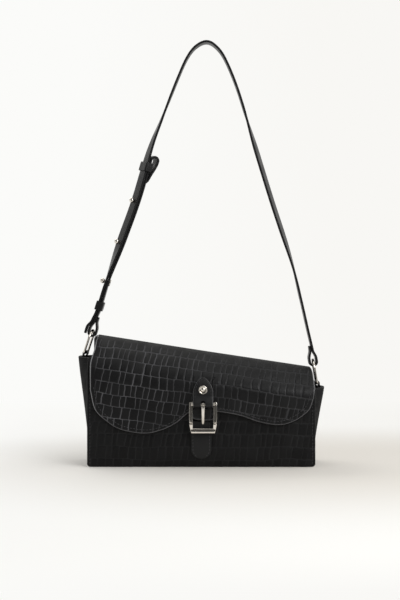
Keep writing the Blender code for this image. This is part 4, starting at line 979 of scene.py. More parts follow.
def smooth_calf():
    """Smooth black calf, drum dyed and finished with a satin coat: a very fine grain and slow
    changes of gloss where hands have worn it."""
    made, tree, shader = new_finish("smooth_satin_calf")
    spot = add_node(tree, "ShaderNodeUVMap", uv_map="hide")[0]
    grain = add_node(
        tree, "ShaderNodeTexNoise", {"Vector": spot, "Scale": 1300.0, "Detail": 3.0}, noise_dimensions="2D"
    )[0]
    pores = add_node(
        tree, "ShaderNodeTexVoronoi", {"Vector": spot, "Scale": 900.0}, voronoi_dimensions="2D"
    )[0]
    patches = add_node(
        tree, "ShaderNodeTexNoise", {"Vector": spot, "Scale": 45.0, "Detail": 3.0}, noise_dimensions="2D"
    )[0]
    colour = add_node(
        tree, "ShaderNodeMix", {0: patches, 6: linear("0d0d0e"), 7: linear("1c1c1d")}, data_type="RGBA"
    )[2]
    gloss = add_node(tree, "ShaderNodeMapRange", {0: patches, 1: 0.3, 2: 0.7, 3: 0.34, 4: 0.46})[0]
    height = add_node(tree, "ShaderNodeMath", {0: pores, 1: 0.6, 2: grain}, operation="MULTIPLY_ADD")[0]
    relief = add_node(
        tree, "ShaderNodeBump", {"Strength": 0.35, "Distance": 0.00012, "Height": height}
    )[0]
    set_sockets(tree, shader, {"Base Color": colour, "Roughness": gloss, "Normal": relief})
    set_sockets(tree, shader, {"IOR": 1.45, "Specular IOR Level": 0.33})
    return made


calf = smooth_calf()


def with_frames(places, sides, halves):
    """Adds a width direction and a normal to each place on a strip's centre line."""
    stations = []
    for i, place in enumerate(places):
        along = (places[min(i + 1, len(places) - 1)] - places[max(i - 1, 0)]).normalized()
        normal = along.cross(sides[i]).normalized()
        stations.append((place, normal.cross(along), normal, halves[i]))
    return stations


def leather_strip(name, stations, thick, round_off=0.0007, closed=False, edge=paint):
    """A strip of leather through its stations, with rounded painted edges."""
    section = []
    for face in (1, -1):
        for share in (1, 0.86, 0.5, 0, -0.5, -0.86, -1):
            crown = 0.00012 * (1 - share * share)
            section.append((share * face, 0, face, crown))
        for angle in (68, 45, 22, 0, -22, -45, -68):
            turn = math.radians(angle)
            section.append((-face, math.cos(turn), face * math.sin(turn), None))
    count = len(section)
    kinds_round = [0] * 6 + [1] * 8 + [0] * 6 + [1] * 8
    points, spots, faces, kinds = [], [], [], []
    length = 0.0
    for i, (place, wide, normal, half) in enumerate(stations):
        if i:
            length += (place - stations[i - 1][0]).length
        flat = half - round_off
        for share, cosine, up, crown in section:
            if crown is None:
                sine = up
                level = (thick / 2 - round_off) * (1 if sine > 0 else -1 if sine < 0 else 0)
                a = share * (flat + round_off * cosine)
                b = level + round_off * sine
            else:
                a, b = share * flat, up * (thick / 2 + crown)
            points.append(place + wide * a + normal * b)
            spots.append((a + 0.02 * up, length))
    rings = len(stations)
    for i in range(rings if closed else rings - 1):
        here, there = i * count, (i + 1) % rings * count
        for k in range(count):
            after = (k + 1) % count
            faces.append((here + k, here + after, there + after, there + k))
            kinds.append(kinds_round[k])
    if not closed:
        faces += [tuple(range(count)), tuple(range((rings - 1) * count, rings * count))]
        kinds += [1, 1]
    return soft_mesh(name, points, faces, kinds, spots, (calf, edge))


def front_strip():
    places, halves = [], []
    heights = [STRIP_LOW + STRIP_TIP * (k / 14) ** 1.8 for k in range(1, 15)]
    heights += [run(STRIP_LOW + STRIP_TIP, STRIP_HIGH, k / 20) for k in range(1, 21)]
    for z in heights:
        share = min((z - STRIP_LOW) / STRIP_TIP, 1)
        places.append(Vector((0, body_front(0, z) - 0.0002 - STRIP_THICK / 2, z)))
        halves.append(STRIP_WIDTH / 2 * (1 - (1 - share) ** 2) ** 0.5)
    stations = with_frames(places, [Vector((1, 0, 0))] * len(places), halves)
    made = leather_strip("front_strip", stations, STRIP_THICK)
    for side, title in ((-1, "left"), (1, "right")):
        line = []
        for place, _, _, half in stations[5:]:
            x = side * (half - STRIP_SEAM_INSET)
            line.append((Vector((x, place.y - STRIP_THICK / 2, place.z)), Vector((0, -1, 0))))
        stitch_row(f"front_strip_stitches_{title}", line, "bag")
    return made


fit(front_strip(), "bag", "smooth_leather", "front_tab")


# Rings, and the tabs that hold them
# A D-ring of bent nickel-plated wire leans in at each end. A loop of calf passes round its
# straight side and is sewn to the inside of the gusset.

RING_WIRE = 0.0015
RING_BOW = 0.0115
RING_LENGTH = 0.0300
RING_Y = 0.005
RING_BAR_X = 0.1455
RING_BAR_RISE = 0.0040
RING_CORNER = 0.003
# How far the left and the right ring lean in, and how far they are turned, in degrees
RING_LEAN = {-1: 18, 1: 9.5}
RING_TURN = {-1: -6, 1: -2}
TAB_HALF_WIDTH = 0.0085
TAB_LENGTH = 0.026
TAB_FREE = 0.0040
ACROSS = Vector((0, 1, 0))


def nickel_plate():
    """Brass plated with nickel and polished: bright and slightly warm, with hairline scratches and
    a few dull spots that break up its reflections."""
    made, tree, shader = new_finish("polished_nickel_plate")
    spot = add_node(tree, "ShaderNodeTexCoord")[3]
    haze = add_node(tree, "ShaderNodeTexNoise", {"Vector": spot, "Scale": 160.0, "Detail": 3.0})[0]
    stretched = add_node(tree, "ShaderNodeMapping", {"Vector": spot, "Scale": (9.0, 9.0, 0.6)})[0]
    lines = add_node(tree, "ShaderNodeTexNoise", {"Vector": stretched, "Scale": 300.0, "Detail": 2.0})[0]
    colour = add_node(
        tree, "ShaderNodeMix", {0: haze, 6: linear("cbc4ba"), 7: linear("e4dfd8")}, data_type="RGBA"
    )[2]
    gloss = add_node(tree, "ShaderNodeMapRange", {0: haze, 1: 0.3, 2: 0.7, 3: 0.04, 4: 0.10})[0]
    relief = add_node(tree, "ShaderNodeBump", {"Strength": 0.02, "Distance": 0.00004, "Height": lines})[0]
    set_sockets(tree, shader, {"Base Color": colour, "Roughness": gloss, "Normal": relief})
    set_sockets(tree, shader, {"Metallic": 1.0})
    return made


nickel = nickel_plate()


def metal_finish(made):
    """Bakes the piece's place into its mesh and gives it the plate."""
    pick(made)
    bpy.ops.object.transform_apply(location=True, rotation=True, scale=True)
    made.data.materials.clear()
    made.data.materials.append(nickel)
    bpy.ops.object.shade_smooth_by_angle(angle=math.radians(32))
    bpy.ops.object.select_all(action="DESELECT")


def arc(x, z, radius, start, end, steps):
    """Points on an arc, with angles in degrees."""
    turns = [math.radians(run(start, end, k / steps)) for k in range(steps + 1)]
    return [(x + radius * math.cos(a), z + radius * math.sin(a)) for a in turns]


def ring_frame(side):
    """The bow's centre, the way up along the leaning ring and the way out of the bag."""
    lean = math.radians(RING_LEAN[side])
    up = Vector((-side * math.sin(lean), 0, math.cos(lean)))
    out = Vector((side * math.cos(lean), 0, math.sin(lean)))
    bar_height = end_to_end(MOUTH_LEFT, MOUTH_RIGHT, side * BODY_WIDTH / 2) + RING_BAR_RISE
    bar = Vector((side * RING_BAR_X, RING_Y, bar_height))
    return bar + up * (RING_LENGTH - RING_BOW), up, out


def wire_ring(side, name):
    """The ring's wire bent at its own lean and turn."""
    bow, up, _ = ring_frame(side)
    leg = RING_LENGTH - RING_BOW
    path = arc(0, 0, RING_BOW, 0, 180, 32)
    path += arc(-RING_BOW + RING_CORNER, -leg + RING_CORNER, RING_CORNER, 180, 270, 8)
    path += arc(RING_BOW - RING_CORNER, -leg + RING_CORNER, RING_CORNER, 270, 360, 8)
    curve = bpy.data.curves.new(name, "CURVE")
    curve.dimensions = "3D"
    curve.bevel_depth = RING_WIRE
    curve.bevel_resolution = 6
    spline = curve.splines.new("POLY")
    spline.points.add(len(path) - 1)
    # Both rings hang turned a little towards the front, the left one more
    across = Matrix.Rotation(math.radians(RING_TURN[side]), 3, up) @ ACROSS
    for point, (y, v) in zip(spline.points, path):
        point.co = (*(bow + across * y + up * v), 1)
    spline.use_cyclic_u = True
    pick(place_in_scene(name, curve))
    bpy.ops.object.convert(target="MESH")
    made = bpy.context.view_layer.objects.active
    metal_finish(made)
    return made


def gusset_inner_x(side, z):
    """Distance from the middle to the gusset's inner face, the least across a ring tab."""
    x_end = side * BODY_WIDTH / 2
    top = end_to_end(MOUTH_LEFT, MOUTH_RIGHT, x_end)
    front, back = gusset_span(x_end, min(z, top), HIDE_THICK + SEAM_GAP)
    least = 1
    for edge in (-TAB_HALF_WIDTH, TAB_HALF_WIDTH):
        least = min(least, math.sin(math.pi * (RING_Y + edge - front) / (back - front)))
    return BODY_WIDTH / 2 - GUSSET_INSET - HIDE_THICK + gusset_flare(min(z, top), top) * least


def ring_loop(side, name):
    top = end_to_end(MOUTH_LEFT, MOUTH_RIGHT, side * BODY_WIDTH / 2)
    bar_z = top + RING_BAR_RISE
    settled = top - TAB_FREE
    loop = RING_WIRE + SEAM_GAP + TAB_LEATHER / 2
    pitch = TAB_LEATHER + SEAM_GAP
    outer, inner = [], []
    heights = [run(top - TAB_LENGTH, settled, k / 12) for k in range(12)]
    heights += [run(settled, bar_z, k / 8) for k in range(8)]
    for z in heights:
        x = gusset_inner_x(side, z) - SEAM_GAP - TAB_LEATHER / 2
        share = smooth((z - settled) / (bar_z - settled))
        outer.append((run(x, RING_BAR_X + loop, share), z))
        inner.append((run(x - pitch, RING_BAR_X - loop, share), z))
    path = outer + arc(RING_BAR_X, bar_z, loop, 0, 180, 20) + inner[::-1]
    places = [Vector((side * x, RING_Y, z)) for x, z in path]
    stations = with_frames(places, [ACROSS] * len(places), [TAB_HALF_WIDTH] * len(places))
    return leather_strip(name, stations, TAB_LEATHER, 0.0005)


for side, title in ((-1, "left"), (1, "right")):
    fit(wire_ring(side, f"wire_ring_{title}"), "bag", "metal", f"d_ring_{title}")
    fit(ring_loop(side, f"ring_loop_{title}"), "bag", "smooth_leather", f"ring_tab_{title}")


# Magnetic snap and tongue rivet
# Turned nickel-plated pieces. The snap closes behind the buckle: a socket on the front and a stud
# inside the flap. The rivet's domed head holds the tongue to the flap.

RIVET_HEIGHT = 0.0958
SNAP_HEIGHT = 0.070
FRONT_LAYER = 0.0042
LINED_FLAP = 0.0025 + 0.0008


def turned_metal(name, profile, place, axis, steps=48):
    """Spins a profile of (radius, distance along the axis) round the axis, as on a lathe."""
    axis = Vector(axis).normalized()
    frame_of = Matrix.Translation(place) @ axis.to_track_quat("Z", "Y").to_matrix().to_4x4()
    mesh = bpy.data.meshes.new(name)
    points = [frame_of @ Vector((radius, 0, along)) for radius, along in profile]
    mesh.from_pydata(points, [(k, k + 1) for k in range(len(points) - 1)], [])
    made = place_in_scene(name, mesh)
    pick(made)
    bpy.ops.object.mode_set(mode="EDIT")
    bpy.ops.mesh.select_all(action="SELECT")
    bpy.ops.mesh.spin(steps=steps, angle=math.tau, center=place, axis=axis)
    bpy.ops.mesh.select_all(action="SELECT")
    bpy.ops.mesh.remove_doubles(threshold=0.000005)
    bpy.ops.mesh.normals_make_consistent(inside=False)
    bpy.ops.object.mode_set(mode="OBJECT")
    metal_finish(made)
    return made


def dome(radius, rise, base, steps=10):
    """Points over a dome from its rim to its top."""
    turns = [math.pi / 2 * k / steps for k in range(steps + 1)]
    side = [(radius * math.cos(a), base + rise * math.sin(a)) for a in turns[:-1]]
    return side + [(0, base + rise)]


def rivet():
    front_face = front_y(BUCKLE_X, RIVET_HEIGHT, -FRONT_LAYER - SEAM_GAP)
    back_face = front_y(BUCKLE_X, RIVET_HEIGHT + 0.0034, LINED_FLAP + SEAM_GAP)
    reach = back_face - front_face
    profile = [(0, -0.0009), (0.0031, -0.0009), (0.0034, -0.0006), (0.0034, 0), (0.0016, 0)]
    profile += [(0.0016, reach), (0.0050, reach), (0.0053, reach + 0.0002), (0.0053, reach + 0.0007)]
    profile += [(x, reach + z) for x, z in arc(0.0046, 0.0010, 0.0007, 0, 180, 8)]
    profile += [(0.0036, reach + 0.0003), (0.0029, reach + 0.0002), (0.0025, reach + 0.0004)]
    profile += dome(0.0023, 0.0011, reach + 0.0005, 7)
    place = Vector((BUCKLE_X, back_face, RIVET_HEIGHT))
    return turned_metal("tongue_rivet_head", profile, place, (0, -1, 0))


fit(rivet(), "flap", "metal", "tongue_rivet")

socket_profile = [(0, 0), (0.0069, 0), (0.0070, 0.0002), (0.0069, 0.0006), (0.0057, 0.0006)]
socket_profile += [(0.0056, 0.0017), (0.0053, 0.0020), (0.0032, 0.0020), (0.0029, 0.0017)]
socket_profile += [(0.0029, 0.0006), (0, 0.0006)]
socket_place = Vector((BUCKLE_X, -HALF_DEPTH - SEAM_GAP, SNAP_HEIGHT))
cup = turned_metal("snap_socket_cup", socket_profile, socket_place, (0, -1, 0))
fit(cup, "bag", "metal", "snap_socket")

stud_profile = [(0, 0), (0.0069, 0), (0.0070, 0.0002), (0.0069, 0.0006), (0.0023, 0.0006)]
stud_profile += [(0.0023, 0.0015), (0.0020, 0.0018), (0, 0.0018)]
stud_place = Vector((BUCKLE_X, front_y(BUCKLE_X, SNAP_HEIGHT, LINED_FLAP + SEAM_GAP), SNAP_HEIGHT))
cap = turned_metal("snap_stud_cap", stud_profile, stud_place, (0, 1, 0))
fit(cap, "flap", "metal", "snap_stud")


# Tongue
# A strip of smooth calf folded round the buckle's heel bar. Both layers are riveted and sewn to
# the flap, and a slot in the fold lets the prong through.

HEEL_HEIGHT = 0.0778
HEEL_Y = -0.0483
TONGUE_WIDTH = 0.0245
TONGUE_POINT = 0.0200
TONGUE_LEATHER = 0.0018
WRAP_RADIUS = 0.0037
TONGUE_BACK_TOP = 0.1085
TONGUE_FRONT_TOP = 0.1107
TONGUE_SETTLE = 0.012
TONGUE_SEAM_INSET = 0.0024
SLOT_SIZE = (0.0050, 0.0136, 0.0088)


def tongue():
    top = TONGUE_BACK_TOP
    middle = TONGUE_LEATHER / 2

    def half_at(z, high):
        share = min(max((z - high) / TONGUE_POINT + 1, 0), 1)
        return TONGUE_WIDTH / 2 * max(1 - share * share, 0) ** 0.68

    tips = [0.992, 0.97, 0.94, 0.9, 0.84, 0.76, 0.67, 0.56, 0.44, 0.3, 0.15, 0]
    heights = [top - TONGUE_POINT * (1 - share) for share in tips]
    heights += [run(top - TONGUE_POINT, HEEL_HEIGHT, k / 8) for k in range(1, 8)]
    places, halves = [], []
    for z in heights:
        places.append(Vector((BUCKLE_X, front_y(BUCKLE_X, z, -SEAM_GAP) - middle, z)))
        halves.append(half_at(z, top))
    for k in range(25):
        angle = math.pi * k / 24
        radius = WRAP_RADIUS - middle
        y = HEEL_Y + radius * math.cos(angle)
        places.append(Vector((BUCKLE_X, y, HEEL_HEIGHT - radius * math.sin(angle))))
        halves.append(TONGUE_WIDTH / 2)
    top = TONGUE_FRONT_TOP
    front = [run(HEEL_HEIGHT, HEEL_HEIGHT + TONGUE_SETTLE, k / 10) for k in range(1, 11)]
    front += [top - TONGUE_POINT * (1 - share) for share in tips[::-1]]
    for z in front:
        away = HEEL_Y - WRAP_RADIUS + FLAP_FRONT + FRONT_LAYER
        lift = away * (1 - smooth((z - HEEL_HEIGHT) / TONGUE_SETTLE))
        places.append(Vector((BUCKLE_X, front_y(BUCKLE_X, z, -FRONT_LAYER) + lift + middle, z)))
        halves.append(half_at(z, top))
    stations = with_frames(places, [Vector((1, 0, 0))] * len(places), halves)
    made = leather_strip("tongue_strip", stations, TONGUE_LEATHER, 0.0006, edge=worn_and_lit_paint)
    bpy.ops.object.select_all(action="DESELECT")
    bpy.ops.mesh.primitive_cube_add(size=1, location=(BUCKLE_X, HEEL_Y - 0.002, HEEL_HEIGHT))
    slot = bpy.context.view_layer.objects.active
    slot.scale = SLOT_SIZE
    bpy.ops.object.transform_apply(location=True, rotation=True, scale=True)
    bpy.ops.object.mode_set(mode="EDIT")
    bpy.ops.mesh.select_all(action="SELECT")
    bpy.ops.mesh.bevel(offset=0.0012, segments=3, affect="EDGES")
    bpy.ops.object.mode_set(mode="OBJECT")
    apply_modifier(made, "BOOLEAN", operation="DIFFERENCE", solver="EXACT", object=slot)
    bpy.data.objects.remove(slot, do_unlink=True)
    made.data.shade_smooth()
    made.data.set_sharp_from_angle(angle=math.radians(50))
    left, right = [], []
    for (place, _, normal, half), z in zip(stations[-len(front) :], front):
        if z < HEEL_HEIGHT + 0.007 or half < 0.0040:
            continue
        out = normal if normal.y < 0 else -normal
        spot = place + out * middle
        left.append((spot + Vector((-half + TONGUE_SEAM_INSET, 0, 0)), out))
        right.append((spot + Vector((half - TONGUE_SEAM_INSET, 0, 0)), out))
    stitch_row("tongue_stitches", left + right[::-1], "flap")
    return made


fit(tongue(), "flap", "smooth_leather", "buckle_tongue")


# Buckle
# A cast and polished frame with bowed side bars, a step near each lower corner and a double
# lower bar, with a round heel bar and a bent prong that turns on it.

HEEL_RADIUS = 0.0016
WINDOW_HALF = 0.0125
SIDE_BAR = 0.0045
FRAME_LOW = 0.0430
FRAME_HIGH = 0.0807
STEP_HEIGHT = 0.0547
FRAME_THICK = 0.0034
LOWER_BAR = 0.0058
CORNER_HEIGHT, CORNER_DRAWN = 0.0092, 0.0023
BOW_LOW, BOW_LENGTH = 0.0560, 0.024
PROUD_HEIGHT = 0.0750
PRONG_WIDTH, PRONG_THICK = 0.0038, 0.0015
PRONG_TIP = 0.0540


def select_faces(made, test):
    """Selects in edit mode the faces whose centre and normal pass the test."""
    bpy.ops.object.mode_set(mode="EDIT")
    bpy.ops.mesh.select_mode(type="FACE")
    bpy.ops.mesh.select_all(action="DESELECT")
    bpy.ops.object.mode_set(mode="OBJECT")
    for polygon in made.data.polygons:
        polygon.select = test(polygon.center, polygon.normal)
    bpy.ops.object.mode_set(mode="EDIT")


def move_points(made, change):
    """Moves the mesh's points in object mode by what the rule gives for each."""
    bpy.ops.object.mode_set(mode="OBJECT")
    for vertex in made.data.vertices:
        vertex.co = change(vertex.co.copy())


def weld(made, part):
    """Joins the part to the piece and gives them the plate."""
    pick(made)
    part.select_set(True)
    bpy.ops.object.join()
    metal_finish(made)
    return made


def buckle():
    outer = WINDOW_HALF + SIDE_BAR
    low_top = FRAME_LOW + LOWER_BAR
    bpy.ops.object.select_all(action="DESELECT")
    bpy.ops.mesh.primitive_cube_add(size=1, location=(BUCKLE_X, HEEL_Y, (FRAME_LOW + low_top) / 2))
    made = bpy.context.view_layer.objects.active
    made.name = "buckle_cast_frame"
    made.scale = (2 * outer, FRAME_THICK, low_top - FRAME_LOW)
    bpy.ops.object.transform_apply(location=True, rotation=True, scale=True)
    bpy.ops.object.mode_set(mode="EDIT")
    for side in (-1, 1):
        bpy.ops.mesh.select_all(action="SELECT")
        bpy.ops.mesh.bisect(plane_co=(BUCKLE_X + side * WINDOW_HALF, 0, 0), plane_no=(1, 0, 0))
    select_faces(made, lambda c, n: n.z > 0.9 and abs(c.x - BUCKLE_X) > WINDOW_HALF)
    steps = [STEP_HEIGHT + rise for rise in (-0.0014, -0.0005, 0, 0.0005, 0.0014, 0.0040)]
    steps += [0.0630, 0.0690, PROUD_HEIGHT, 0.0785, FRAME_HIGH]
    height = low_top
    for level in steps:
        bpy.ops.mesh.extrude_region_move(
            TRANSFORM_OT_translate={"value": (0, 0, level - height)}
        )
        height = level
    bpy.ops.mesh.select_all(action="SELECT")
    bpy.ops.mesh.bisect(plane_co=(0, HEEL_Y, 0), plane_no=(0, 1, 0))

    def shape(co):
        # The side bars bow out above the step, and the frame is drawn in to its lower corners
        x = co.x - BUCKLE_X
        side = 1 if x > 0 else -1
        bow = math.sin(math.pi * min(max((co.z - BOW_LOW) / BOW_LENGTH, 0), 1))
        if abs(x) > outer - 0.0001:
            share = min(max((co.z - FRAME_LOW) / CORNER_HEIGHT, 0), 1)
            x = side * (outer - CORNER_DRAWN * (1 - share) - 0.0004 + 0.0004 * bow)
        elif abs(x) > WINDOW_HALF - 0.0001:
            x = side * (WINDOW_HALF + 0.0005 * bow)
        y = co.y - HEEL_Y
        if abs(co.z - STEP_HEIGHT) < 0.0003:
            y *= 0.66
            x += -side * 0.0006 if abs(x) > outer - 0.003 else side * 0.0005
        if y < -0.001 and co.z > STEP_HEIGHT + 0.001:
            y -= 0.0006 * min(max((PROUD_HEIGHT - co.z) / 0.017, 0), 1)
            y += 0.0013 * min(max((co.z - PROUD_HEIGHT) / 0.0055, 0), 1)
        return Vector((BUCKLE_X + x, HEEL_Y + y, co.z))

    move_points(made, shape)
    bpy.ops.object.mode_set(mode="EDIT")
    for rise in (0.0024, 0.0038):
        bpy.ops.mesh.select_all(action="SELECT")
        bpy.ops.mesh.bisect(plane_co=(0, 0, FRAME_LOW + rise), plane_no=(0, 0, 1))

    def draw_in(co):
        # A shallow step that parts the lower bar's reflection in two bright lines
        if co.y < HEEL_Y - 0.001 and FRAME_LOW + 0.0030 < co.z < low_top + 0.0001:
            co.y += 0.00018
        return co

    move_points(made, draw_in)
    sharp = math.radians(38)
    apply_modifier(made, "BEVEL", width=0.0016, segments=5, limit_method="ANGLE", angle_limit=sharp)
    bpy.ops.object.select_all(action="DESELECT")
    bpy.ops.mesh.primitive_cylinder_add(
        vertices=40,
        radius=HEEL_RADIUS,
        depth=2 * WINDOW_HALF + SIDE_BAR,
        location=(BUCKLE_X, HEEL_Y, HEEL_HEIGHT),
        rotation=(0, math.pi / 2, 0),
    )
    return weld(made, bpy.context.view_layer.objects.active)


def prong():
    inner, outside, half = 0.00185, 0.0028, 0.0018
    profile = [(inner, -half), (outside - 0.0004, -half), (outside, -half + 0.0004)]
    profile += [(outside, half - 0.0004), (outside - 0.0004, half), (inner, half), (inner, -half)]
    made = turned_metal("buckle_bent_prong", profile, Vector((BUCKLE_X, HEEL_Y, HEEL_HEIGHT)), (1, 0, 0))
    middle = 0.00275
    bpy.ops.object.select_all(action="DESELECT")
    bpy.ops.mesh.primitive_cube_add(
        size=1, location=(BUCKLE_X, HEEL_Y - middle, HEEL_HEIGHT - 0.0015)
    )
    shank = bpy.context.view_layer.objects.active
    shank.scale = (PRONG_WIDTH, PRONG_THICK, 0.0010)
    bpy.ops.object.transform_apply(location=True, rotation=True, scale=True)
    bpy.ops.object.mode_set(mode="EDIT")
    select_faces(shank, lambda c, n: n.z < -0.9)
    fall = HEEL_HEIGHT - 0.0020 - PRONG_TIP
    before = 0.0
    for share in (0.25, 0.5, 0.7, 0.85, 0.95, 1):
        bend = 0.0018 * (share**3 - before**3)
        bpy.ops.mesh.extrude_region_move(
            TRANSFORM_OT_translate={"value": (0, bend, -fall * (share - before))}
        )
        narrow = 0.94 if share < 0.95 else 0.84
        bpy.ops.transform.resize(
            value=(narrow, 1, 1), center_override=(BUCKLE_X, HEEL_Y, HEEL_HEIGHT)
        )
        before = share
    bpy.ops.object.mode_set(mode="OBJECT")
    sharp = math.radians(40)
    apply_modifier(shank, "BEVEL", width=0.00045, segments=3, limit_method="ANGLE", angle_limit=sharp)
    return weld(made, shank)


fit(buckle(), "buckle_frame", "metal", "buckle_frame")
fit(prong(), "buckle_prong", "metal", "buckle_prong")


# Shoulder strap
# Two strips of satin calf. The short one is looped through the left ring and ends in a fold at
# the upper keeper; the long one lies over it, buttons on three ball studs, and runs over the
# shoulder to a loop through the right ring. One keeper slides and one is fixed at the fold.

STRAP_WIDTH = 0.0160
STRAP_LEATHER = 0.0028
STRAP_APEX = 0.5285
PITCH = STRAP_LEATHER + SEAM_GAP
EYE_RADIUS = 0.0030
EYE_CENTRE = math.sqrt((RING_BOW - RING_WIRE) ** 2 - (STRAP_WIDTH / 2) ** 2) - SEAM_GAP + EYE_RADIUS
EYE_HALF = EYE_RADIUS + STRAP_LEATHER / 2
EYE_TOP = EYE_CENTRE + 0.0043
EYE_CLOSE = 0.0110
CLOSED_TOP = EYE_TOP + EYE_CLOSE
ROUTE_SHIFT = 0.001
# Both legs twist from this height on, the left one most at its own height
TWIST_FROM, LEFT_TWISTED = 0.212, 0.350
LEFT_TWIST, RIGHT_TWIST = math.radians(31), math.radians(19.5)
FOLD_TOP, FOLDED_END = 0.3822, 0.0305
KEEPER_WIDTH, KEEPER_LEATHER, KEEPER_ROOM = 0.0115, 0.0015, 0.0005
UPPER_KEEPER, LOWER_KEEPER = 0.3727, 0.1975
BALL_RADIUS = 0.0032
STUD_HEIGHTS = (0.2275, 0.2770, 0.3290)

# The route from the left ring to the right: shares of half the body's width and of the rise from
# the bag's ridge to the apex
ROUTE = (
    (-0.931, 0.0907),
    (-0.846, 0.1976),
    (-0.72, 0.3376),
    (-0.59, 0.4772),
    (-0.457, 0.6470),
    (-0.351, 0.7489),
    (-0.207, 0.8830),
    (-0.126, 0.9486),
    (-0.052, 0.9843),
    (0.038, 1),
    (0.116, 0.9865),
    (0.198, 0.9470),
    (0.31, 0.8513),
    (0.449, 0.6941),
    (0.615, 0.5081),
    (0.79, 0.3256),
    (0.875, 0.2100),
    (0.942, 0.1115),
)


def at_ring(side, v, n):
    """A place by a ring: v up along it from the bow's centre, n out of the bag."""
    bow, up, out = ring_frame(side)
    return bow + up * v + out * n


def eye_offset(v):
    return run(EYE_HALF, PITCH / 2, smooth((v - EYE_TOP) / EYE_CLOSE))


def eye_path():
    """(v, n) down the main leg, round under the bow and up the folded-back end."""
    heights = [run(CLOSED_TOP, EYE_TOP, k / 12) for k in range(1, 13)]
    path = [(v, eye_offset(v)) for v in heights]
    for k in range(25):
        angle = math.pi * k / 24
        path.append((EYE_CENTRE - EYE_HALF * math.sin(angle), EYE_HALF * math.cos(angle)))
    path += [(v, -eye_offset(v)) for v in heights[::-1]]
    return path + [(CLOSED_TOP + 0.005 * k / 3, -PITCH / 2) for k in range(4)]


def strap_route():
    points = [at_ring(-1, CLOSED_TOP, PITCH)]
    for x_share, z_share in ROUTE:
        x = ROUTE_SHIFT + x_share * BODY_WIDTH / 2
        points.append(Vector((x, RING_Y, run(back_height(x), STRAP_APEX, z_share))))
    points.append(at_ring(1, CLOSED_TOP, 0))
    return curve_through(points, at_ring(-1, EYE_TOP, PITCH), at_ring(1, EYE_TOP, 0), 0.0028)


route = strap_route()


def frame_at(i):
    """The strap's outward normal and width direction at this station of its route."""
    along = (route[min(i + 1, len(route) - 1)] - route[max(i - 1, 0)]).normalized()
    z = route[i].z
    if route[i].x > 0:
        turned = smooth((z - TWIST_FROM) / 0.085) * (1 - smooth((z - 0.388) / 0.064)) * RIGHT_TWIST
    elif z < LEFT_TWISTED:
        turned = smooth((z - TWIST_FROM) / 0.078) * LEFT_TWIST
    else:
        turned = math.cos(math.pi / 2 * min((z - LEFT_TWISTED) / 0.125, 1)) ** 2 * LEFT_TWIST
    normal = along.cross(ACROSS) * math.cos(turned) - ACROSS * math.sin(turned)
    return normal, normal.cross(along)


def route_at(height):
    """Place, tangent, width direction and normal on the left leg at this height."""
    left = [i for i, place in enumerate(route) if place.x < -BODY_WIDTH / 12]
    i = min(left, key=lambda k: abs(route[k].z - height))
    if route[i].z > height:
        i -= 1
    share = (height - route[i].z) / (route[i + 1].z - route[i].z)
    along = (route[i + 1] - route[i]).normalized()
    normal = frame_at(i)[0].lerp(frame_at(i + 1)[0], share)
    normal = (normal - along * normal.dot(along)).normalized()
    return route[i].lerp(route[i + 1], share), along, along.cross(normal), normal


def strap_strip(name, places, sides):
    gone = [0.0]
    for start, end in zip(places, places[1:]):
        gone.append(gone[-1] + (end - start).length)
    halves = []
    for done in gone:
        share = min(done, gone[-1] - done) / 0.0080
        ease = 1 if share >= 1 else 0.35 + 0.65 * math.sqrt(1 - (1 - share) ** 2)
        halves.append(STRAP_WIDTH / 2 * ease)
    return leather_strip(name, with_frames(places, sides, halves), STRAP_LEATHER, 0.0009)


def long_strap():
    heights = [run(CLOSED_TOP - 0.0190, EYE_TOP, (k / 9) ** 1.4) for k in range(9)]
    heights += [run(EYE_TOP, CLOSED_TOP, k / 8) for k in range(8)]
    places = []
    for v in heights:
        flare = 0.0009 * smooth((CLOSED_TOP - v) / EYE_CLOSE)
        places.append(at_ring(-1, v, eye_offset(v) + PITCH + flare))
    sides = [ACROSS] * len(places)
    for i, place in enumerate(route):
        normal, side = frame_at(i)
        places.append(place + normal * (PITCH / 2))
        sides.append(side)
    loop = [at_ring(1, v, n) for v, n in eye_path()]
    return strap_strip("strap_long_strip", places + loop, sides + [ACROSS] * len(loop))


def short_strap():
    places = [at_ring(-1, v, n) for v, n in eye_path()][::-1]
    sides = [ACROSS] * len(places)
    left = [i for i, place in enumerate(route) if place.x < -BODY_WIDTH / 12]
    top = min(left, key=lambda k: abs(route[k].z - FOLD_TOP))
    for i in range(top + 1):
        normal, side = frame_at(i)
        places.append(route[i] - normal * (PITCH / 2))
        sides.append(side)
    normal, side = frame_at(top)
    up = side.cross(normal)
    radius = 0.0034 + STRAP_LEATHER / 2
    for k in range(1, 20):
        angle = math.pi * k / 20
        sunk = PITCH / 2 + radius * (1 - math.cos(angle))
        places.append(route[top] - normal * sunk + up * (radius * math.sin(angle)))
        sides.append(side)
    for i in range(top, 0, -1):
        down = (route[top] - route[i]).length
        if down > FOLDED_END:
            break
        normal, side = frame_at(i)
        sunk = run(PITCH / 2 + 2 * radius, 1.5 * PITCH, smooth(down / 0.0290))
        places.append(route[i] - normal * sunk)
        sides.append(side)
    return strap_strip("strap_short_strip", places, sides)


def copy_of(model, name, place, turned):
    """A copy, with its own mesh, of a piece modelled at the origin, turned and moved to its place."""
    mesh = model.data.copy()
    mesh.name = name
    mesh.transform(Matrix.Translation(place) @ turned.to_4x4())
    return place_in_scene(name, mesh)


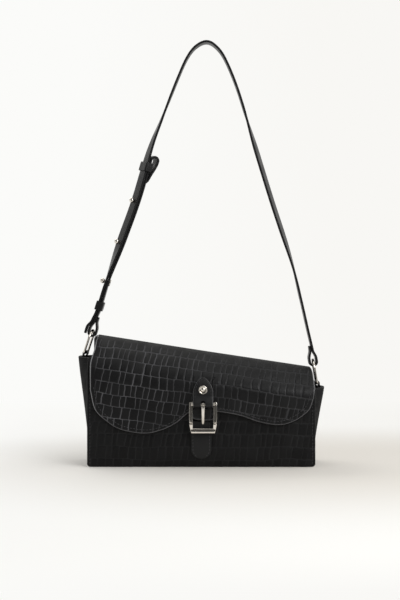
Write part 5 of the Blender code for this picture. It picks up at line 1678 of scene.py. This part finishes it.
def keeper_band():
    """A narrow band of calf round both straps, butted and glued at the back. It is modelled at the
    origin, with the straps' width along Y and their outer side up along Z."""
    half_wide = STRAP_WIDTH / 2 + KEEPER_ROOM
    half_deep = PITCH / 2 + STRAP_LEATHER / 2 + KEEPER_ROOM
    corner = KEEPER_ROOM + KEEPER_LEATHER / 2
    loop = []
    for a, b in ((1, 1), (-1, 1), (-1, -1), (1, -1)):
        x, y = a * (half_wide - KEEPER_ROOM), b * (half_deep - KEEPER_ROOM)
        start = math.degrees(math.atan2(b, a)) - 45
        loop += arc(x, y, corner, start, start + 90, 6)
    dense = []
    for k, (x, y) in enumerate(loop):
        nx, ny = loop[(k + 1) % len(loop)]
        pieces = max(1, round(math.dist((x, y), (nx, ny)) / 0.0015))
        dense += [(run(x, nx, m / pieces), run(y, ny, m / pieces)) for m in range(pieces)]
    stations = []
    for k, (x, y) in enumerate(dense):
        ahead, behind = dense[(k + 1) % len(dense)], dense[k - 1]
        turn = Vector((ahead[0] - behind[0], ahead[1] - behind[1]))
        out = Vector((0, turn.y, -turn.x)).normalized()
        stations.append((Vector((0, x, y)), Vector((-1, 0, 0)), out, KEEPER_WIDTH / 2))
    return leather_strip("keeper_band", stations, KEEPER_LEATHER, 0.0005, closed=True)


def ball_stud():
    """A turned ball on a neck through both straps, with its round foot inside. It is modelled at
    the origin, with its ball up along Z."""
    inside = -PITCH / 2 - STRAP_LEATHER / 2 - SEAM_GAP
    ball = -inside + BALL_RADIUS * 0.85
    profile = [(0, inside - 0.0012), (0.0041, inside - 0.0012), (0.0044, inside - 0.0009)]
    profile += [(0.0044, inside - 0.0002), (0.0042, inside), (0.0017, inside)]
    for k in range(17):
        angle = math.radians(run(-57, 90, k / 16))
        profile.append((BALL_RADIUS * math.cos(angle), ball + BALL_RADIUS * math.sin(angle)))
    profile[-1] = (0, ball + BALL_RADIUS)
    return turned_metal("ball_stud", profile, Vector((0, 0, 0)), (0, 0, 1), 32)


fit(long_strap(), "strap", "smooth_leather", "strap_long")
fit(short_strap(), "strap", "smooth_leather", "strap_short")
model = keeper_band()
for title, height, body in (("upper", UPPER_KEEPER, "strap"), ("lower", LOWER_KEEPER, "lower_keeper")):
    place, _, wide, normal = route_at(height)
    turned = Matrix((wide.cross(normal), wide, normal)).transposed()
    band = copy_of(model, f"keeper_band_{title}", place, turned)
    fit(band, body, "smooth_leather", f"keeper_{title}")
bpy.data.meshes.remove(model.data)

model = ball_stud()
for number, height in enumerate(STUD_HEIGHTS, 1):
    place, _, _, normal = route_at(height)
    turned = normal.to_track_quat("Z", "Y").to_matrix()
    stud = copy_of(model, f"ball_stud_{number}", place, turned)
    fit(stud, "strap", "metal", f"strap_stud_{number}")
bpy.data.meshes.remove(model.data)


# Studio
# A pale sweep of paper under and behind the bag, in a light room that is dark on the camera's
# side. Soft boxes stand above, at the front right and behind, and the camera looks level.

PAPER_FRONT, PAPER_BEND = -0.69, 1.1
PAPER_ROUND = 0.9
PAPER_TOP = 1.35
PAPER_HALF = 3.2


def paper_sweep():
    """White background paper, matt. Seen straight on it shows a little of its own light, as paper
    lit from behind does, and it keeps the bag's soft shadow."""
    made, tree, shader = new_finish("white_background_paper")
    spot = add_node(tree, "ShaderNodeTexCoord")[3]
    parts = add_node(tree, "ShaderNodeSeparateXYZ", {0: spot})
    across = add_node(tree, "ShaderNodeMapRange", {0: parts[0], 1: -0.35, 2: 0.35})[0]
    colour = add_node(
        tree, "ShaderNodeMix", {0: across, 6: linear("fbfbf9"), 7: linear("f8f7f4")}, data_type="RGBA"
    )[2]
    # The bag's soft shade greys the paper round it, most of all at the right
    round_bag = add_node(
        tree,
        "ShaderNodeVectorMath",
        {0: spot, 1: (0.7, 1.0, 0.0), 2: (-0.15, 0, 0)},
        operation="MULTIPLY_ADD",
    )[0]
    round_bag = add_node(tree, "ShaderNodeVectorMath", {0: round_bag}, operation="LENGTH")[1]
    near = add_node(
        tree,
        "ShaderNodeMapRange",
        {0: round_bag, 1: 0.10, 2: 0.48, 3: 1.0, 4: 0.0},
        interpolation_type="SMOOTHSTEP",
    )[0]
    colour = add_node(
        tree, "ShaderNodeMix", {0: near, 6: colour, 7: linear("e6e2dc")}, data_type="RGBA"
    )[2]
    set_sockets(tree, shader, {"Base Color": colour, "Roughness": 0.95, "Specular IOR Level": 0.1})
    glow = add_node(tree, "ShaderNodeEmission", {"Color": colour, "Strength": 1.0})[0]
    light = add_node(tree, "ShaderNodeLightPath")
    seen = light[0]
    for ray in (light[3], light[6]):
        seen = add_node(tree, "ShaderNodeMath", {0: seen, 1: ray}, operation="MAXIMUM")[0]
    # Its own light is strongest far behind the bag, and stronger at the left than at the right
    far = add_node(tree, "ShaderNodeMapRange", {0: parts[1], 1: 0.15, 2: 0.9, 3: 0.5, 4: 1.0})[0]
    left = add_node(tree, "ShaderNodeMapRange", {0: parts[0], 1: -0.10, 2: -0.36, 3: 0.5, 4: 0.9})[0]
    # Towards its edges the paper fades into the wall of the room
    beside = add_node(tree, "ShaderNodeMath", {0: parts[0]}, operation="ABSOLUTE")[0]
    beside = add_node(tree, "ShaderNodeMapRange", {0: beside, 1: 0.6, 2: 1.8})[0]
    front = add_node(tree, "ShaderNodeMapRange", {0: parts[1], 1: -0.40, 2: -0.66, 3: 0.0, 4: 1.0})[0]
    for brighter in (left, beside, front):
        far = add_node(tree, "ShaderNodeMath", {0: far, 1: brighter}, operation="MAXIMUM")[0]
    own = add_node(tree, "ShaderNodeMath", {0: near, 1: -0.5, 2: far}, operation="MULTIPLY_ADD")[0]
    seen = add_node(tree, "ShaderNodeMath", {0: seen, 1: own}, operation="MULTIPLY")[0]
    mixed = add_node(tree, "ShaderNodeMixShader", {0: seen, 1: shader.outputs[0], 2: glow})[0]
    set_sockets(tree, tree.nodes["Material Output"], {0: mixed})
    return made


def backdrop():
    profile = [(PAPER_FRONT, 0.0), (PAPER_BEND, 0.0)]
    for k in range(1, 13):
        angle = math.pi * k / 24
        y = PAPER_BEND + PAPER_ROUND * math.sin(angle)
        profile.append((y, PAPER_ROUND - PAPER_ROUND * math.cos(angle)))
    profile.append((PAPER_BEND + PAPER_ROUND, PAPER_TOP))
    points = [(x, y, z) for y, z in profile for x in (-PAPER_HALF, PAPER_HALF)]
    faces = [(2 * k, 2 * k + 1, 2 * k + 3, 2 * k + 2) for k in range(len(profile) - 1)]
    mesh = bpy.data.meshes.new("paper_sweep")
    mesh.from_pydata(points, [], faces)
    mesh.materials.append(paper_sweep())
    mesh.shade_smooth()
    return place_in_scene("paper_sweep", mesh)


backdrop()


def soft_box(name, place, aim, width, height, watts, colour):
    lamp = bpy.data.lights.new(name, "AREA")
    lamp.shape = "RECTANGLE"
    lamp.size = width
    lamp.size_y = height
    lamp.energy = watts
    lamp.color = colour
    made = place_in_scene(name, lamp)
    made.location = place
    towards = Vector(aim) - Vector(place)
    made.rotation_euler = towards.to_track_quat("-Z", "Y").to_euler()


soft_box("box_overhead", (0.45, -0.35, 1.6), (0.05, 0, 0.1), 1.0, 0.7, 3, (1.0, 0.99, 0.98))
soft_box("box_right", (0.8, -1.15, 0.8), (0.05, 0, 0.1), 0.8, 0.6, 11, (1.0, 1.0, 1.0))
soft_box("box_behind", (-0.75, 1.1, 1.5), (0, 0, 0), 1.6, 0.8, 10, (1.0, 0.98, 0.95))


def light_room():
    """Pale walls round the bag, brighter at the left, and a ceiling brightest at the right.
    The camera stands before a dark gap in the walls."""
    world = bpy.data.worlds.new("light_room")
    world.use_nodes = True
    tree = world.node_tree
    towards = add_node(tree, "ShaderNodeTexCoord")[0]
    parts = add_node(tree, "ShaderNodeSeparateXYZ", {0: towards})
    left_wall = add_node(tree, "ShaderNodeMapRange", {0: parts[0], 1: -0.6, 2: 0.4, 3: 1.2, 4: 0.62})[0]
    wall = add_node(tree, "ShaderNodeMapRange", {0: parts[1], 1: -0.88, 2: -0.6, 3: 0.10, 4: 0.85})[0]
    wall = add_node(tree, "ShaderNodeMath", {0: wall, 1: left_wall}, operation="MULTIPLY")[0]
    rightward = add_node(
        tree, "ShaderNodeMapRange", {0: parts[0], 1: -0.08, 2: 0.24, 3: 0.36, 4: 1.15}
    )[0]
    behind = add_node(tree, "ShaderNodeMapRange", {0: parts[1], 1: 0.25, 2: 0.6, 3: 1.0, 4: 0.3})[0]
    before = add_node(tree, "ShaderNodeMapRange", {0: parts[1], 1: -0.8, 2: -0.35, 3: 0.25, 4: 1.0})[0]
    ceiling = rightward
    for share in (behind, before):
        ceiling = add_node(tree, "ShaderNodeMath", {0: ceiling, 1: share}, operation="MULTIPLY")[0]
    high = add_node(tree, "ShaderNodeMapRange", {0: parts[2], 1: 0.22, 2: 0.5})[0]
    level = add_node(tree, "ShaderNodeMix", {0: high, 2: wall, 3: ceiling}, data_type="FLOAT")[0]
    room = tree.nodes["Background"]
    set_sockets(tree, room, {0: linear("fafaf7"), 1: level})
    # Past the paper's edges a camera sees more of the same pale wall, and so does the metal
    # where it mirrors what stands behind the bag
    pale = add_node(tree, "ShaderNodeBackground", {"Color": linear("fafaf7"), "Strength": 1.0})[0]
    light = add_node(tree, "ShaderNodeLightPath")
    rear = add_node(tree, "ShaderNodeMapRange", {0: parts[1], 1: 0.6, 2: 0.9})[0]
    seen = add_node(tree, "ShaderNodeMath", {0: light[3], 1: rear}, operation="MULTIPLY")[0]
    for ray in (light[0], light[6]):
        seen = add_node(tree, "ShaderNodeMath", {0: seen, 1: ray}, operation="MAXIMUM")[0]
    mixed = add_node(tree, "ShaderNodeMixShader", {0: seen, 1: room.outputs[0], 2: pale})[0]
    set_sockets(tree, tree.nodes["World Output"], {0: mixed})
    bpy.context.scene.world = world


light_room()

lens = bpy.data.cameras.new("camera")
lens.sensor_fit = "VERTICAL"
lens.sensor_height = 36
lens.lens = 71.0
lens.clip_start = 0.05
camera = place_in_scene("camera", lens)
camera.location = (-0.0015, -1.4875, 0.205)
camera.rotation_euler = (math.pi / 2, 0, 0)
bpy.context.scene.camera = camera
bpy.context.scene.view_settings.view_transform = "Standard"
